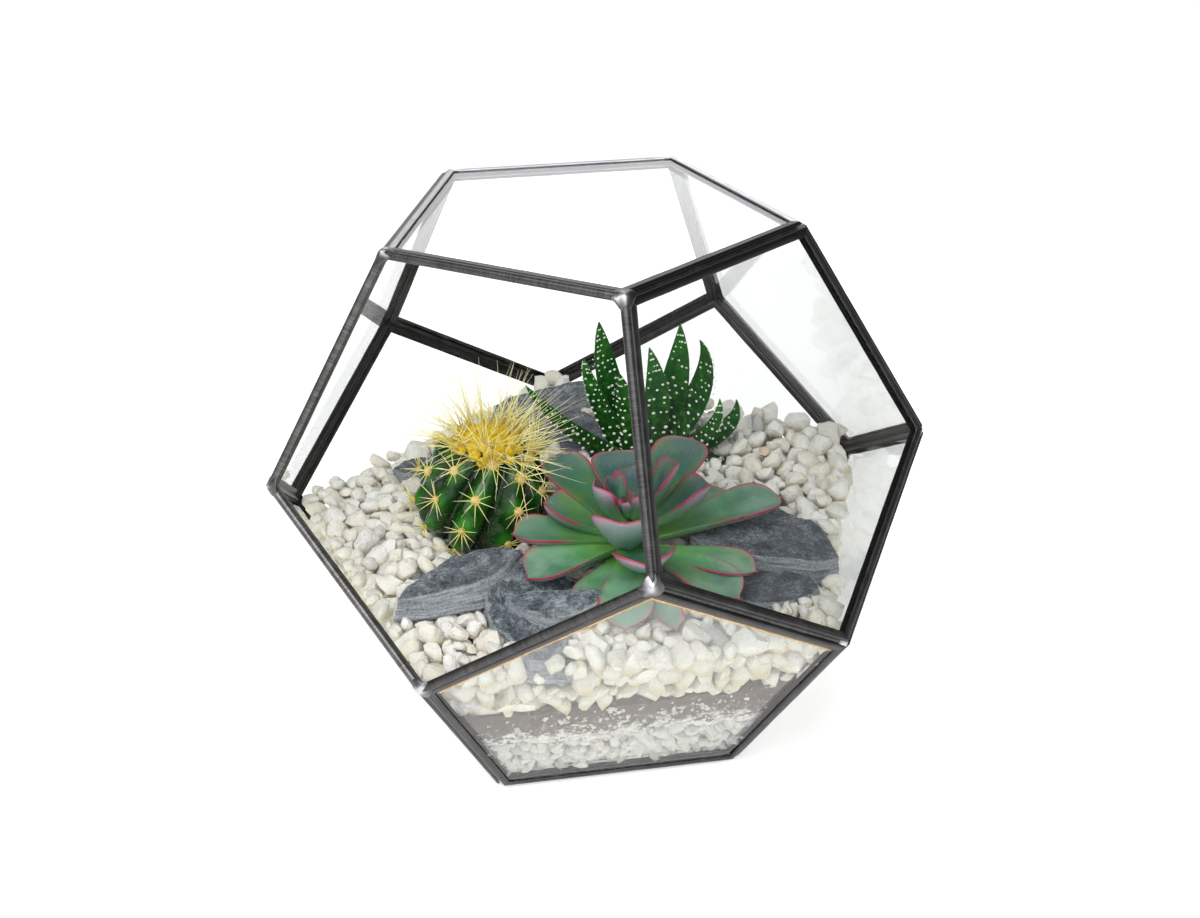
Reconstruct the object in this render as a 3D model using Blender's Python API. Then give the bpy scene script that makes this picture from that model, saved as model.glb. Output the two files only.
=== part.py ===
"""Glass terrarium: a dodecahedron of flat panes framed in lead came, planted with three succulents.

The vessel is a regular dodecahedron that stands on one face. Eleven faces are glazed, and the
twelfth, facing -Y, is left open for the hand. Each pane is a pentagon in its own ring of U-shaped
came. Inside lie a drainage layer, a soil band, white gravel, eight slate chips and the plants.
Units are metres, +Z is up, and the origin is the middle of the underside.
"""

import math
import random

import bmesh
import bpy
from mathutils import Matrix, Vector

# Dodecahedron, measured along the middle of the panes' thickness.
EDGE = 0.080
FACE_INRADIUS = EDGE * 0.688191
SOLID_INRADIUS = EDGE * 1.113516
CORNER_RADIUS = EDGE * 1.376382
CORNER_RISE = EDGE * 0.262866
FACE_TILT = math.atan(0.5)
FIFTH = math.tau / 5
OPEN_FACE = -math.pi / 2

# Came and glass.
CAME_DEPTH = 0.0032
CAME_WIDTH = 0.0020
CAME_WALL = 0.00045
CAME_BACK_RADIUS = 0.0014
CAME_BACK_STEPS = 3
CAME_SETBACK = 0.00052
GLASS = 0.0018
FIT = 0.0003

# Heights of the fill.
CENTRE_Z = SOLID_INRADIUS + CAME_DEPTH / 2
FILL_FOOT = CAME_DEPTH + FIT
GRIT_TOP = 0.0240
SOIL_TOP = 0.0440
GRAVEL_RIM = (0.0690, 0.0695, 0.0735, 0.0725, 0.0695)
GRAVEL_CREST = 0.0745
FILL_CLEARANCE = CAME_DEPTH / 2 + FIT

# Plants: where each one grows, and how big it is.
CACTUS_CENTRE = Vector((-0.0300, -0.0215, 0.0850))
CACTUS_RADIUS = 0.0215
CACTUS_SQUASH = 0.94
CACTUS_RIBS = 11
CACTUS_RINGS = 12
CACTUS_RIB_DEPTH = 0.0026
STEM_SIDES = 12
STEM_TAPER = 0.9
HAWORTHIA_FOOT = Vector((-0.0016, 0.0435, 0.0690))
HAWORTHIA_CORE = (0.0050, 0.0150)
ECHEVERIA_FOOT = Vector((0.0295, -0.0167, 0.0690))
ECHEVERIA_CORE = (0.0032, 0.0190)
HEART_RADIUS = 0.0085
HEART_HEIGHT = 0.0190
HEART_SINK = 0.0045
HEART_FOOT_SHARE = 0.72

# Leaf outlines from base to tip: distance along, share of the width, share of the thickness.
SPOON = (
    (0.00, 0.24, 0.55),
    (0.18, 0.42, 0.75),
    (0.42, 0.80, 1.00),
    (0.68, 1.00, 0.95),
    (0.88, 0.78, 0.60),
    (1.00, 0.10, 0.20),
)
SPIKE = (
    (0.00, 0.40, 0.50),
    (0.15, 0.95, 1.00),
    (0.38, 1.00, 1.00),
    (0.62, 0.78, 0.85),
    (0.84, 0.42, 0.55),
    (1.00, 0.07, 0.12),
)
LEAF_SIDES = 8

# Echeveria leaves from the lowest up: bearing, climb at the base and at the tip in degrees, then
# length and width, then the height of the base above the foot.
ECHEVERIA_LEAVES = (
    (-50, -4, 0, 0.044, 0.018, 0.0060),
    (-76, 2, 4, 0.043, 0.018, 0.0075),
    (-137, -2, 6, 0.039, 0.016, 0.0065),
    (-4, 1, 5, 0.038, 0.016, 0.0075),
    (76, 4, 8, 0.036, 0.016, 0.0080),
    (-27, 6, 8, 0.041, 0.018, 0.0090),
    (-112, 6, 10, 0.042, 0.018, 0.0095),
    (38, 10, 14, 0.045, 0.018, 0.0095),
    (-150, 10, 12, 0.043, 0.016, 0.0108),
    (172, 22, 30, 0.041, 0.018, 0.0120),
    (-60, 18, 28, 0.036, 0.016, 0.0125),
    (96, 22, 32, 0.040, 0.018, 0.0120),
    (-170, 6, 10, 0.036, 0.012, 0.0075),
    (136, 32, 44, 0.034, 0.017, 0.0140),
    (14, 32, 46, 0.030, 0.013, 0.0145),
)
ECHEVERIA_LEAF_DEPTH = 0.0026

# Haworthia leaves: bearing, climb at the base and at the tip, length, width, height of the base.
HAWORTHIA_LEAVES = (
    (-152, 34, 42, 0.049, 0.0100, 0.0060),
    (-84, 70, 84, 0.038, 0.0085, 0.0070),
    (-34, 76, 90, 0.044, 0.0085, 0.0105),
    (-6, 36, 50, 0.036, 0.0090, 0.0060),
    (20, 62, 72, 0.048, 0.0095, 0.0105),
    (46, 26, 34, 0.038, 0.0090, 0.0060),
    (78, 70, 80, 0.050, 0.0100, 0.0105),
    (172, 72, 82, 0.051, 0.0100, 0.0110),
    (-136, 60, 69, 0.042, 0.0085, 0.0092),
)
HAWORTHIA_LEAF_DEPTH = 0.0042

# Slate chips: middle, length, width, thickness, bearing of the length, pitch and roll in degrees.
SLATES = (
    (-0.0175, -0.0615, 0.0748, 0.046, 0.019, 0.0080, 64, 3, -16),
    (0.0030, -0.0660, 0.0735, 0.030, 0.016, 0.0085, 118, -2, 8),
    (0.0215, -0.0650, 0.0785, 0.026, 0.013, 0.0050, 14, 4, -8),
    (0.0660, 0.0080, 0.0755, 0.046, 0.030, 0.0085, -24, -6, -5),
    (0.0775, -0.0215, 0.0715, 0.026, 0.014, 0.0060, 32, -2, -4),
    (-0.0540, 0.0590, 0.0765, 0.042, 0.018, 0.0070, 42, 3, -10),
    (-0.0395, 0.0400, 0.0770, 0.030, 0.016, 0.0065, -32, 2, -6),
    (-0.0725, -0.0020, 0.0735, 0.020, 0.012, 0.0055, 46, 4, 6),
)
SLATE_SIDES = 7
SLATE_OUTLINE_JITTER = 0.16
SLATE_TURN_JITTER = 0.30
SLATE_LEVEL_JITTER = 0.10
SLATE_SEED = 100

# Each ring of a slate's corners: its level in thicknesses, and its share of the outline.
SLATE_RINGS = ((-0.50, 1.00), (0.15, 0.96), (0.50, 0.80))

# The pockets in the gravel are this much larger than what is sunk in them.
POCKET_CLEARANCE = 0.0005

# Edges that turn less than this are shaded smooth.
CAME_SMOOTH = math.radians(40)
PLANT_SMOOTH = math.radians(60)

# Colours, roughness and metallic value of each material.
LEAD = ((0.050, 0.048, 0.046, 1), 0.42, 0.9)
CLEAR_GLASS = ((0.92, 0.95, 0.94, 1), 0.03, 0.0)
GRIT = ((0.78, 0.76, 0.68, 1), 0.75, 0.0)
SOIL = ((0.24, 0.21, 0.18, 1), 0.95, 0.0)
GRAVEL = ((0.85, 0.83, 0.76, 1), 0.7, 0.0)
SLATE = ((0.11, 0.14, 0.17, 1), 0.7, 0.0)
CACTUS_GREEN = ((0.02, 0.12, 0.015, 1), 0.35, 0.0)
HAWORTHIA_GREEN = ((0.02, 0.11, 0.02, 1), 0.45, 0.0)
ECHEVERIA_GREEN = ((0.12, 0.30, 0.18, 1), 0.5, 0.0)


def clear_scene():
    for old in list(bpy.data.objects):
        bpy.data.objects.remove(old, do_unlink=True)


def material(name, finish):
    colour, roughness, metallic = finish
    made = bpy.data.materials.new(name)
    made.use_nodes = True
    shader = made.node_tree.nodes["Principled BSDF"]
    shader.inputs["Base Color"].default_value = colour
    shader.inputs["Roughness"].default_value = roughness
    shader.inputs["Metallic"].default_value = metallic
    made.diffuse_color = colour
    return made


def solid(name, bm, finish, smooth_angle=None):
    """Makes an object of the bmesh, with its faces pointing out, and frees the bmesh."""
    bmesh.ops.recalc_face_normals(bm, faces=bm.faces)
    mesh = bpy.data.meshes.new(name)
    bm.to_mesh(mesh)
    bm.free()
    if smooth_angle is not None:
        mesh.shade_smooth()
        mesh.set_sharp_from_angle(angle=smooth_angle)
    if finish is not None:
        mesh.materials.append(finish)
    made = bpy.data.objects.new(name, mesh)
    bpy.context.collection.objects.link(made)
    return made


def bearing(angle, rise=0.0):
    return Vector((math.cos(angle) * math.cos(rise), math.sin(angle) * math.cos(rise), math.sin(rise)))


def face_frame(normal, upward):
    """Placement of a face: local Z is its outward normal, and one pentagon corner is at local +Y."""
    across = upward.cross(normal)
    turn = Matrix((across, upward, normal)).transposed().to_4x4()
    middle = normal * SOLID_INRADIUS + Vector((0, 0, CENTRE_Z))
    return Matrix.Translation(middle) @ turn


def glazed_faces():
    """Name and placement of the eleven glazed faces. The upper face on the open side is left out."""
    faces = [("base", face_frame(Vector((0, 0, -1)), Vector((0, -1, 0))))]
    for k in range(5):
        angle = OPEN_FACE + FIFTH / 2 + k * FIFTH
        placement = face_frame(bearing(angle, -FACE_TILT), bearing(angle, math.pi / 2 - FACE_TILT))
        faces.append((f"lower_{k + 1}", placement))
    for k in range(1, 5):
        angle = OPEN_FACE + k * FIFTH
        placement = face_frame(bearing(angle, FACE_TILT), bearing(angle, FACE_TILT - math.pi / 2))
        faces.append((f"upper_{k}", placement))
    faces.append(("top", face_frame(Vector((0, 0, 1)), Vector((0, 1, 0)))))
    return faces


def came_profile():
    """Section of the came as (inset from its back, height over the pane's middle)."""
    half = CAME_DEPTH / 2
    points = [(CAME_WIDTH, half)]
    for side in (1, -1):
        for k in range(CAME_BACK_STEPS + 1):
            turn = math.pi / 2 * (k / CAME_BACK_STEPS)
            if side < 0:
                turn = math.pi / 2 - turn
            inset = CAME_BACK_RADIUS * (1 - math.sin(turn))
            height = half - CAME_BACK_RADIUS * (1 - math.cos(turn))
            points.append((inset, side * height))
    points.append((CAME_WIDTH, -half))
    points.append((CAME_WIDTH, CAME_WALL - half))
    points.append((CAME_WALL, CAME_WALL - half))
    points.append((CAME_WALL, half - CAME_WALL))
    points.append((CAME_WIDTH, half - CAME_WALL))
    return points


def came_ring():
    """One ring of came: the section swept round the pentagon, mitred at its five corners."""
    bm = bmesh.new()
    corner = 1 / math.cos(FIFTH / 2)
    outer = FACE_INRADIUS - CAME_SETBACK
    section = [bm.verts.new((0, (outer - inset) * corner, height)) for inset, height in came_profile()]
    edges = [bm.edges.new((section[k - 1], section[k])) for k in range(len(section))]
    bmesh.ops.spin(
        bm, geom=section + edges, cent=(0, 0, 0), axis=(0, 0, 1), dvec=(0, 0, 0),
        angle=math.tau, steps=5, use_merge=True,
    )
    return bm


def pane_sheet():
    """One pane: a pentagon of glass that reaches into its came."""
    bm = bmesh.new()
    inradius = FACE_INRADIUS - CAME_SETBACK - CAME_WALL - FIT
    bmesh.ops.create_cone(
        bm, segments=5, radius1=inradius / math.cos(FIFTH / 2), radius2=inradius / math.cos(FIFTH / 2),
        depth=GLASS, cap_ends=True, cap_tris=False,
    )
    corners = [v for v in bm.verts if v.co.z > 0]
    first = min(corners, key=lambda v: abs(math.atan2(v.co.y, v.co.x) - math.pi / 2))
    turn = math.pi / 2 - math.atan2(first.co.y, first.co.x)
    bmesh.ops.rotate(bm, verts=bm.verts, cent=(0, 0, 0), matrix=Matrix.Rotation(turn, 3, "Z"))
    return bm


def build_vessel():
    lead = material("lead_came", LEAD)
    glass = material("clear_glass", CLEAR_GLASS)
    for name, placement in glazed_faces():
        ring = came_ring()
        bmesh.ops.transform(ring, matrix=placement, verts=ring.verts)
        solid(f"came_{name}", ring, lead, CAME_SMOOTH)
        sheet = pane_sheet()
        bmesh.ops.transform(sheet, matrix=placement, verts=sheet.verts)
        solid(f"pane_{name}", sheet, glass)


def wall_distance(height):
    """Distance from the axis to the inside of the lower panes' came at a height."""
    middle = FACE_INRADIUS + (height - CAME_DEPTH / 2) * math.tan(FACE_TILT)
    return middle - FILL_CLEARANCE / math.cos(FACE_TILT)


def fill_layer(foot, top):
    """A slice of the fill: a five-sided block whose sides follow the lower panes."""
    bm = bmesh.new()
    corner = 1 / math.cos(FIFTH / 2)
    bmesh.ops.create_cone(
        bm, segments=5, radius1=wall_distance(foot) * corner, radius2=wall_distance(top) * corner,
        depth=top - foot, cap_ends=True, cap_tris=False,
    )
    first = next(v for v in bm.verts if v.co.z > 0)
    turn = OPEN_FACE - math.atan2(first.co.y, first.co.x)
    bmesh.ops.rotate(bm, verts=bm.verts, cent=(0, 0, 0), matrix=Matrix.Rotation(turn, 3, "Z"))
    bmesh.ops.translate(bm, verts=bm.verts, vec=(0, 0, (foot + top) / 2))
    return bm


def build_fill():
    solid("drainage_grit", fill_layer(FILL_FOOT, GRIT_TOP), material("white_grit", GRIT))
    solid("soil_band", fill_layer(GRIT_TOP + FIT, SOIL_TOP), material("dark_soil", SOIL))
    rim = min(GRAVEL_RIM)
    bm = fill_layer(SOIL_TOP + FIT, rim)
    lid = max(bm.faces, key=lambda face: face.calc_center_median().z)
    for corner in lid.verts:
        k = round((math.atan2(corner.co.y, corner.co.x) - OPEN_FACE) / FIFTH) % 5
        rise = GRAVEL_RIM[k] - rim
        corner.co.z += rise
        corner.co.xy *= 1 - rise * math.tan(FACE_TILT) / CORNER_RADIUS
    crest = bmesh.ops.poke(bm, faces=[lid])["verts"][0]
    crest.co.z = GRAVEL_CREST
    return solid("top_gravel", bm, material("white_gravel", GRAVEL))


def cactus_shape(rib_depth, grow=0.0):
    """A ribbed globe: every second line of points round it is drawn in to make the furrows."""
    bm = bmesh.new()
    bmesh.ops.create_uvsphere(bm, u_segments=2 * CACTUS_RIBS, v_segments=CACTUS_RINGS, radius=1)
    for vert in bm.verts:
        spread = math.hypot(vert.co.x, vert.co.y)
        line = round(math.atan2(vert.co.y, vert.co.x) / (math.pi / CACTUS_RIBS))
        furrow = rib_depth * spread if line % 2 else 0.0
        vert.co *= CACTUS_RADIUS - furrow + grow
        vert.co.z *= CACTUS_SQUASH
    bmesh.ops.translate(bm, verts=bm.verts, vec=CACTUS_CENTRE)
    return bm


def stem_shape(foot, core, grow=0.0):
    radius, height = core
    bm = bmesh.new()
    bmesh.ops.create_cone(
        bm, segments=STEM_SIDES, radius1=radius + grow, radius2=radius * STEM_TAPER + grow,
        depth=height + 2 * grow, cap_ends=True, cap_tris=False,
    )
    bmesh.ops.translate(bm, verts=bm.verts, vec=foot + Vector((0, 0, height / 2)))
    return bm


def leaf_shape(outline, stem_foot, stem_radius, leaf, depth):
    """A leaf from the stem outwards: oval sections along an upward curve, bridged and capped."""
    angle, climb_base, climb_tip, length, width, height = leaf
    out = bearing(math.radians(angle))
    across = Vector((-out.y, out.x, 0))
    start = stem_radius + FIT + depth * outline[0][2] / 2 * math.sin(math.radians(climb_base))
    spot = stem_foot + out * start + Vector((0, 0, height))
    bm = bmesh.new()
    loops = []
    reached = 0.0
    for along, share_width, share_depth in outline:
        climb = math.radians(climb_base + (climb_tip - climb_base) * (along + reached) / 2)
        forward = out * math.cos(climb) + Vector((0, 0, math.sin(climb)))
        spot = spot + forward * (along - reached) * length
        reached = along
        over = forward.cross(-across)
        frame = Matrix((across * width * share_width / 2, over * depth * share_depth / 2, forward))
        place = Matrix.Translation(spot) @ frame.transposed().to_4x4()
        ring = bmesh.ops.create_circle(bm, segments=LEAF_SIDES, radius=1, matrix=place)["verts"]
        loops.append(list({edge for vert in ring for edge in vert.link_edges}))
    for k in range(len(loops) - 1):
        bmesh.ops.bridge_loops(bm, edges=loops[k] + loops[k + 1])
    bmesh.ops.holes_fill(bm, edges=[edge for edge in bm.edges if edge.is_boundary], sides=LEAF_SIDES)
    return bm


def build_cactus():
    skin = material("cactus_skin", CACTUS_GREEN)
    solid("cactus_body", cactus_shape(CACTUS_RIB_DEPTH), skin, PLANT_SMOOTH)


def build_haworthia():
    skin = material("haworthia_skin", HAWORTHIA_GREEN)
    solid("haworthia_core", stem_shape(HAWORTHIA_FOOT, HAWORTHIA_CORE), skin)
    for k, leaf in enumerate(HAWORTHIA_LEAVES):
        bm = leaf_shape(SPIKE, HAWORTHIA_FOOT, HAWORTHIA_CORE[0], leaf, HAWORTHIA_LEAF_DEPTH)
        solid(f"haworthia_leaf_{k + 1:02d}", bm, skin, PLANT_SMOOTH)


def heart_shape():
    """The bud of young leaves on top of the stem, one solid down to the ground."""
    bm = bmesh.new()
    bmesh.ops.create_uvsphere(bm, u_segments=10, v_segments=8, radius=1)
    lift = ECHEVERIA_CORE[1] + HEART_HEIGHT / 2 - HEART_SINK
    for vert in bm.verts:
        taper = 1.0 if vert.co.z > 0 else HEART_FOOT_SHARE
        vert.co.x *= HEART_RADIUS * taper
        vert.co.y *= HEART_RADIUS * taper
        vert.co.z *= HEART_HEIGHT / 2
    bmesh.ops.translate(bm, verts=bm.verts, vec=ECHEVERIA_FOOT + Vector((0, 0, lift)))
    return bm


def build_echeveria():
    skin = material("echeveria_skin", ECHEVERIA_GREEN)
    heart = solid("echeveria_heart", stem_shape(ECHEVERIA_FOOT, ECHEVERIA_CORE), skin)
    bud = solid("echeveria_bud_tool", heart_shape(), None)
    bud.hide_render = True
    bud.display_type = "WIRE"
    join = heart.modifiers.new("bud", "BOOLEAN")
    join.operation = "UNION"
    join.solver = "EXACT"
    join.object = bud
    for k, leaf in enumerate(ECHEVERIA_LEAVES):
        bm = leaf_shape(SPOON, ECHEVERIA_FOOT, ECHEVERIA_CORE[0], leaf, ECHEVERIA_LEAF_DEPTH)
        solid(f"echeveria_leaf_{k + 1:02d}", bm, skin, PLANT_SMOOTH)


def slate_shape(index, grow=0.0):
    """A split chip of slate: an uneven seven-sided slab, wider below than above, made convex."""
    x, y, z, length, width, thick, turn, pitch, roll = SLATES[index]
    rng = random.Random(SLATE_SEED + index)
    bm = bmesh.new()
    for level, share in SLATE_RINGS:
        for k in range(SLATE_SIDES):
            angle = math.tau * (k + SLATE_TURN_JITTER * rng.uniform(-1, 1)) / SLATE_SIDES
            reach = share * (1 - SLATE_OUTLINE_JITTER * rng.random())
            spot = Vector((
                math.cos(angle) * reach * (length / 2 + grow),
                math.sin(angle) * reach * (width / 2 + grow),
                level * (thick + 2 * grow) * (1 - SLATE_LEVEL_JITTER * rng.random()),
            ))
            bm.verts.new(spot)
    hull = bmesh.ops.convex_hull(bm, input=bm.verts)
    loose = {item for item in hull["geom_interior"] if isinstance(item, bmesh.types.BMVert)}
    bmesh.ops.delete(bm, geom=list(loose), context="VERTS")
    place = (
        Matrix.Translation((x, y, z))
        @ Matrix.Rotation(math.radians(turn), 4, "Z")
        @ Matrix.Rotation(math.radians(-pitch), 4, "Y")
        @ Matrix.Rotation(math.radians(roll), 4, "X")
    )
    bmesh.ops.transform(bm, matrix=place, verts=bm.verts)
    return bm


def build_slates():
    stone = material("blue_slate", SLATE)
    for k in range(len(SLATES)):
        solid(f"slate_{k + 1}", slate_shape(k), stone)


def bed_into(gravel, name, bm):
    """Cuts a pocket in the gravel for something that is sunk in it."""
    tool = solid(f"{name}_pocket_tool", bm, None)
    tool.hide_render = True
    tool.display_type = "WIRE"
    cut = gravel.modifiers.new(name, "BOOLEAN")
    cut.operation = "DIFFERENCE"
    cut.solver = "EXACT"
    cut.object = tool


def build_pockets(gravel):
    bed_into(gravel, "cactus", cactus_shape(0.0, POCKET_CLEARANCE))
    bed_into(gravel, "haworthia", stem_shape(HAWORTHIA_FOOT, HAWORTHIA_CORE, POCKET_CLEARANCE))
    bed_into(gravel, "echeveria", stem_shape(ECHEVERIA_FOOT, ECHEVERIA_CORE, POCKET_CLEARANCE))
    for k in range(len(SLATES)):
        bed_into(gravel, f"slate_{k + 1}", slate_shape(k, POCKET_CLEARANCE))


clear_scene()
build_vessel()
gravel_bed = build_fill()
build_cactus()
build_haworthia()
build_echeveria()
build_slates()
build_pockets(gravel_bed)
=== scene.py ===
"""Looks of the glass terrarium: lead came, solder, clear panes, gravel, slate and three succulents.

Lengths are metres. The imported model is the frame: every piece lies where its CAD nodes lie.
"""

import math
import random

import bmesh
import bpy
import numpy as np
from mathutils import Matrix, Vector, noise
from mathutils.bvhtree import BVHTree


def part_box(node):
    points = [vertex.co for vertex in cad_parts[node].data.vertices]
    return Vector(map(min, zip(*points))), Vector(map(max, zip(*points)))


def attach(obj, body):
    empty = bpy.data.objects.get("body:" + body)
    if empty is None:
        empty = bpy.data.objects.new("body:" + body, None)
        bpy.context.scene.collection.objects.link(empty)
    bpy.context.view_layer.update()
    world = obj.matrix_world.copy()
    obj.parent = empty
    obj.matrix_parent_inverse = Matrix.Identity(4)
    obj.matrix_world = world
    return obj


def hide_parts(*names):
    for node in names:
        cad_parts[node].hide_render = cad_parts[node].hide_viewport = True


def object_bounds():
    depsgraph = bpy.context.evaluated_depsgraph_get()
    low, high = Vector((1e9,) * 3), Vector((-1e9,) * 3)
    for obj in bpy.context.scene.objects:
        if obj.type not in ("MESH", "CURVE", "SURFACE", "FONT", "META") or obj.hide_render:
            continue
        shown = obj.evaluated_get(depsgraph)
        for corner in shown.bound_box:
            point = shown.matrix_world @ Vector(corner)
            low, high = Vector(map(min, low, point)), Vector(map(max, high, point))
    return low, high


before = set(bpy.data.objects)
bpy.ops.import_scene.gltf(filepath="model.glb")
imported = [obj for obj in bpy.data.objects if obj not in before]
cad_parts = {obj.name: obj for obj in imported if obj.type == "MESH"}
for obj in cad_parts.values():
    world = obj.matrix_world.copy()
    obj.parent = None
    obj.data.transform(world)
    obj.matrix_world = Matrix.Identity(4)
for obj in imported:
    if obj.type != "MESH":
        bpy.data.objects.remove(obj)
cad_low, cad_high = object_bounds()


# Lead came. Each pane sits in its own ring of U-shaped lead strip, bent round the glass, mitred at
# the corners and blackened with patina. Neighbouring rings meet back to back along the edges.

EDGE = 0.080
FACE_INRADIUS = EDGE * 0.688191
SOLID_INRADIUS = EDGE * 1.113516
CORNER_RADIUS = EDGE * 1.401259
FACE_TILT = math.atan(0.5)
FIFTH = math.tau / 5
OPEN_FACE = -math.pi / 2
CAME_DEPTH = 0.0032
CAME_WIDTH = 0.0028
CAME_WALL = 0.00045
CAME_BACK_RADIUS = 0.0008
CAME_BACK_STEPS = 6
CAME_LIP_RADIUS = 0.00018
CAME_SETBACK = 0.00038
CAME_CUTS = 11
CAME_DENTS = 0.00007
DENT_SCALE = 400
GRAIN_SHIFT = 0.3
CREASE = math.radians(50)
# Colour of the pale painted highlight on the strips painted lightest.
PAINTED_HIGHLIGHT_COLOUR = (0.60, 0.59, 0.63)
# Painted light on single strips, standing in for what they reflect: below zero a strip is painted darker,
# above zero lighter, and the highest values turn to a pale painted highlight.
# The numbers count the strips of a ring anticlockwise, from the corner at its pane's local +Y.
PAINTED_STRIP_LIGHT = {
    "top": {0: 1.0, 1: 0.55, 3: -0.30, 4: 0.80},
    "upper_1": {2: -0.25},
    "upper_4": {1: 0.10},
    "lower_5": {4: 0.10},
}
CENTRE = Vector((0, 0, SOLID_INRADIUS + CAME_DEPTH / 2))


class Wire:
    """A shader value that can be used in sums: each operation adds its Math node."""

    def __init__(self, socket):
        self.socket = socket

    def maths(self, operation, first, second):
        tree = self.socket.id_data
        step = tree.nodes.new("ShaderNodeMath")
        step.operation = operation
        for slot, value in zip(step.inputs, (first, second)):
            connect(tree, value, slot)
        return Wire(step.outputs[0])

    def __add__(self, other):
        return self.maths("ADD", self, other)

    def __radd__(self, other):
        return self.maths("ADD", other, self)

    def __sub__(self, other):
        return self.maths("SUBTRACT", self, other)

    def __rsub__(self, other):
        return self.maths("SUBTRACT", other, self)

    def __mul__(self, other):
        return self.maths("MULTIPLY", self, other)

    def __rmul__(self, other):
        return self.maths("MULTIPLY", other, self)

    def power(self, exponent):
        return self.maths("POWER", self, exponent)

    def between(self, low, high):
        """0 below low, 1 above high, and a smooth step from one to the other."""
        tree = self.socket.id_data
        step = tree.nodes.new("ShaderNodeMapRange")
        step.interpolation_type = "SMOOTHSTEP"
        connect(tree, self, step.inputs["Value"])
        step.inputs["From Min"].default_value = low
        step.inputs["From Max"].default_value = high
        return Wire(step.outputs[0])


def connect(tree, value, slot):
    """Feeds the slot with a shader value, or sets it to a plain one."""
    if isinstance(value, Wire):
        tree.links.new(value.socket, slot)
    else:
        slot.default_value = value


class Finish:
    """A material with one Principled shader, and one method that adds any other node."""

    def __init__(self, name, **constants):
        self.material = bpy.data.materials.new(name)
        self.material.use_nodes = True
        self.tree = self.material.node_tree
        self.shader = self.tree.nodes["Principled BSDF"]
        self.output = self.tree.nodes["Material Output"]
        for socket, value in constants.items():
            self.shader.inputs[socket.replace("_", " ")].default_value = value

    def node(self, kind, settings, inputs, output=0):
        made = self.tree.nodes.new(kind)
        for name, value in settings.items():
            if name == "stops":
                ramp = made.color_ramp
                while len(ramp.elements) < len(value):
                    ramp.elements.new(1.0)
                for element, (place, colour) in zip(ramp.elements, value):
                    element.position = place
                    element.color = (*colour, 1)
            else:
                setattr(made, name, value)
        for slot, value in inputs.items():
            connect(self.tree, value, made.inputs[slot])
        return Wire(made.outputs[output])

    def place(self):
        return self.node("ShaderNodeTexCoord", {}, {}, "Object")

    def stretched(self, vector, scale):
        return self.node("ShaderNodeVectorMath", {"operation": "MULTIPLY"}, {0: vector, 1: scale})

    def own(self, name, output="Fac"):
        """The piece's own attribute of that name."""
        return self.node("ShaderNodeAttribute", {"attribute_name": name}, {}, output)

    def noise(self, vector, scale, detail=3.0, roughness=0.55):
        return self.node(
            "ShaderNodeTexNoise", {},
            {"Vector": vector, "Scale": scale, "Detail": detail, "Roughness": roughness},
        )

    def ramp(self, value, *stops):
        return self.node("ShaderNodeValToRGB", {"stops": stops}, {"Fac": value})

    def mix(self, factor, first, second):
        under, over = (value if isinstance(value, Wire) else (*value, 1) for value in (first, second))
        return self.node("ShaderNodeMix", {"data_type": "RGBA"}, {0: factor, 6: under, 7: over}, 2)

    def coats(self, body, *coats):
        """The body's colour under further coats, each given as its share and its colour."""
        for share, colour in coats:
            body = self.mix(share, body, colour)
        return body

    def bump(self, height, distance, strength):
        normal = self.node(
            "ShaderNodeBump", {}, {"Height": height, "Distance": distance, "Strength": strength}, "Normal"
        )
        self.feed(Normal=normal)

    def feed(self, **inputs):
        for socket, value in inputs.items():
            connect(self.tree, value, self.shader.inputs[socket.replace("_", " ")])


def turned(fifths):
    """The bearing that lies so many fifths of a turn from the opening's."""
    return OPEN_FACE + fifths * FIFTH


def bearing(angle, rise=0.0):
    """The direction at that angle about Z, with that rise over the level."""
    return Vector((math.cos(angle) * math.cos(rise), math.sin(angle) * math.cos(rise), math.sin(rise)))


def face_frame(normal, corner):
    """Placement of a pane: local Z is its outward normal, and one corner is at local +Y."""
    turn = Matrix((corner.cross(normal), corner, normal)).transposed().to_4x4()
    return Matrix.Translation(normal * SOLID_INRADIUS + CENTRE) @ turn


def glazed_faces():
    """The placement of each pane, by name. The open face has none."""
    faces = {"base": face_frame(Vector((0, 0, -1)), Vector((0, -1, 0)))}
    for k in range(5):
        corner = bearing(turned(k + 0.5), math.pi / 2 - FACE_TILT)
        faces[f"lower_{k + 1}"] = face_frame(bearing(turned(k + 0.5), -FACE_TILT), corner)
    for k in range(1, 5):
        corner = bearing(turned(k), FACE_TILT - math.pi / 2)
        faces[f"upper_{k}"] = face_frame(bearing(turned(k), FACE_TILT), corner)
    faces["top"] = face_frame(Vector((0, 0, 1)), Vector((0, 1, 0)))
    return faces


def show(name, bm, finish, smooth_angle=math.pi, subdivide=0):
    """Makes a piece of the bmesh: it rides on the vessel, at the origin, with its place in its mesh."""
    mesh = bpy.data.meshes.new(name)
    bm.to_mesh(mesh)
    bm.free()
    mesh.shade_smooth()
    if smooth_angle < math.pi:
        mesh.set_sharp_from_angle(angle=smooth_angle)
    mesh.materials.append(finish.material)
    piece = bpy.data.objects.new(name, mesh)
    bpy.context.scene.collection.objects.link(piece)
    if subdivide:
        surface = piece.modifiers.new("smooth", "SUBSURF")
        surface.levels = subdivide
        surface.render_levels = subdivide
    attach(piece, "root")
    return piece


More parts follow.
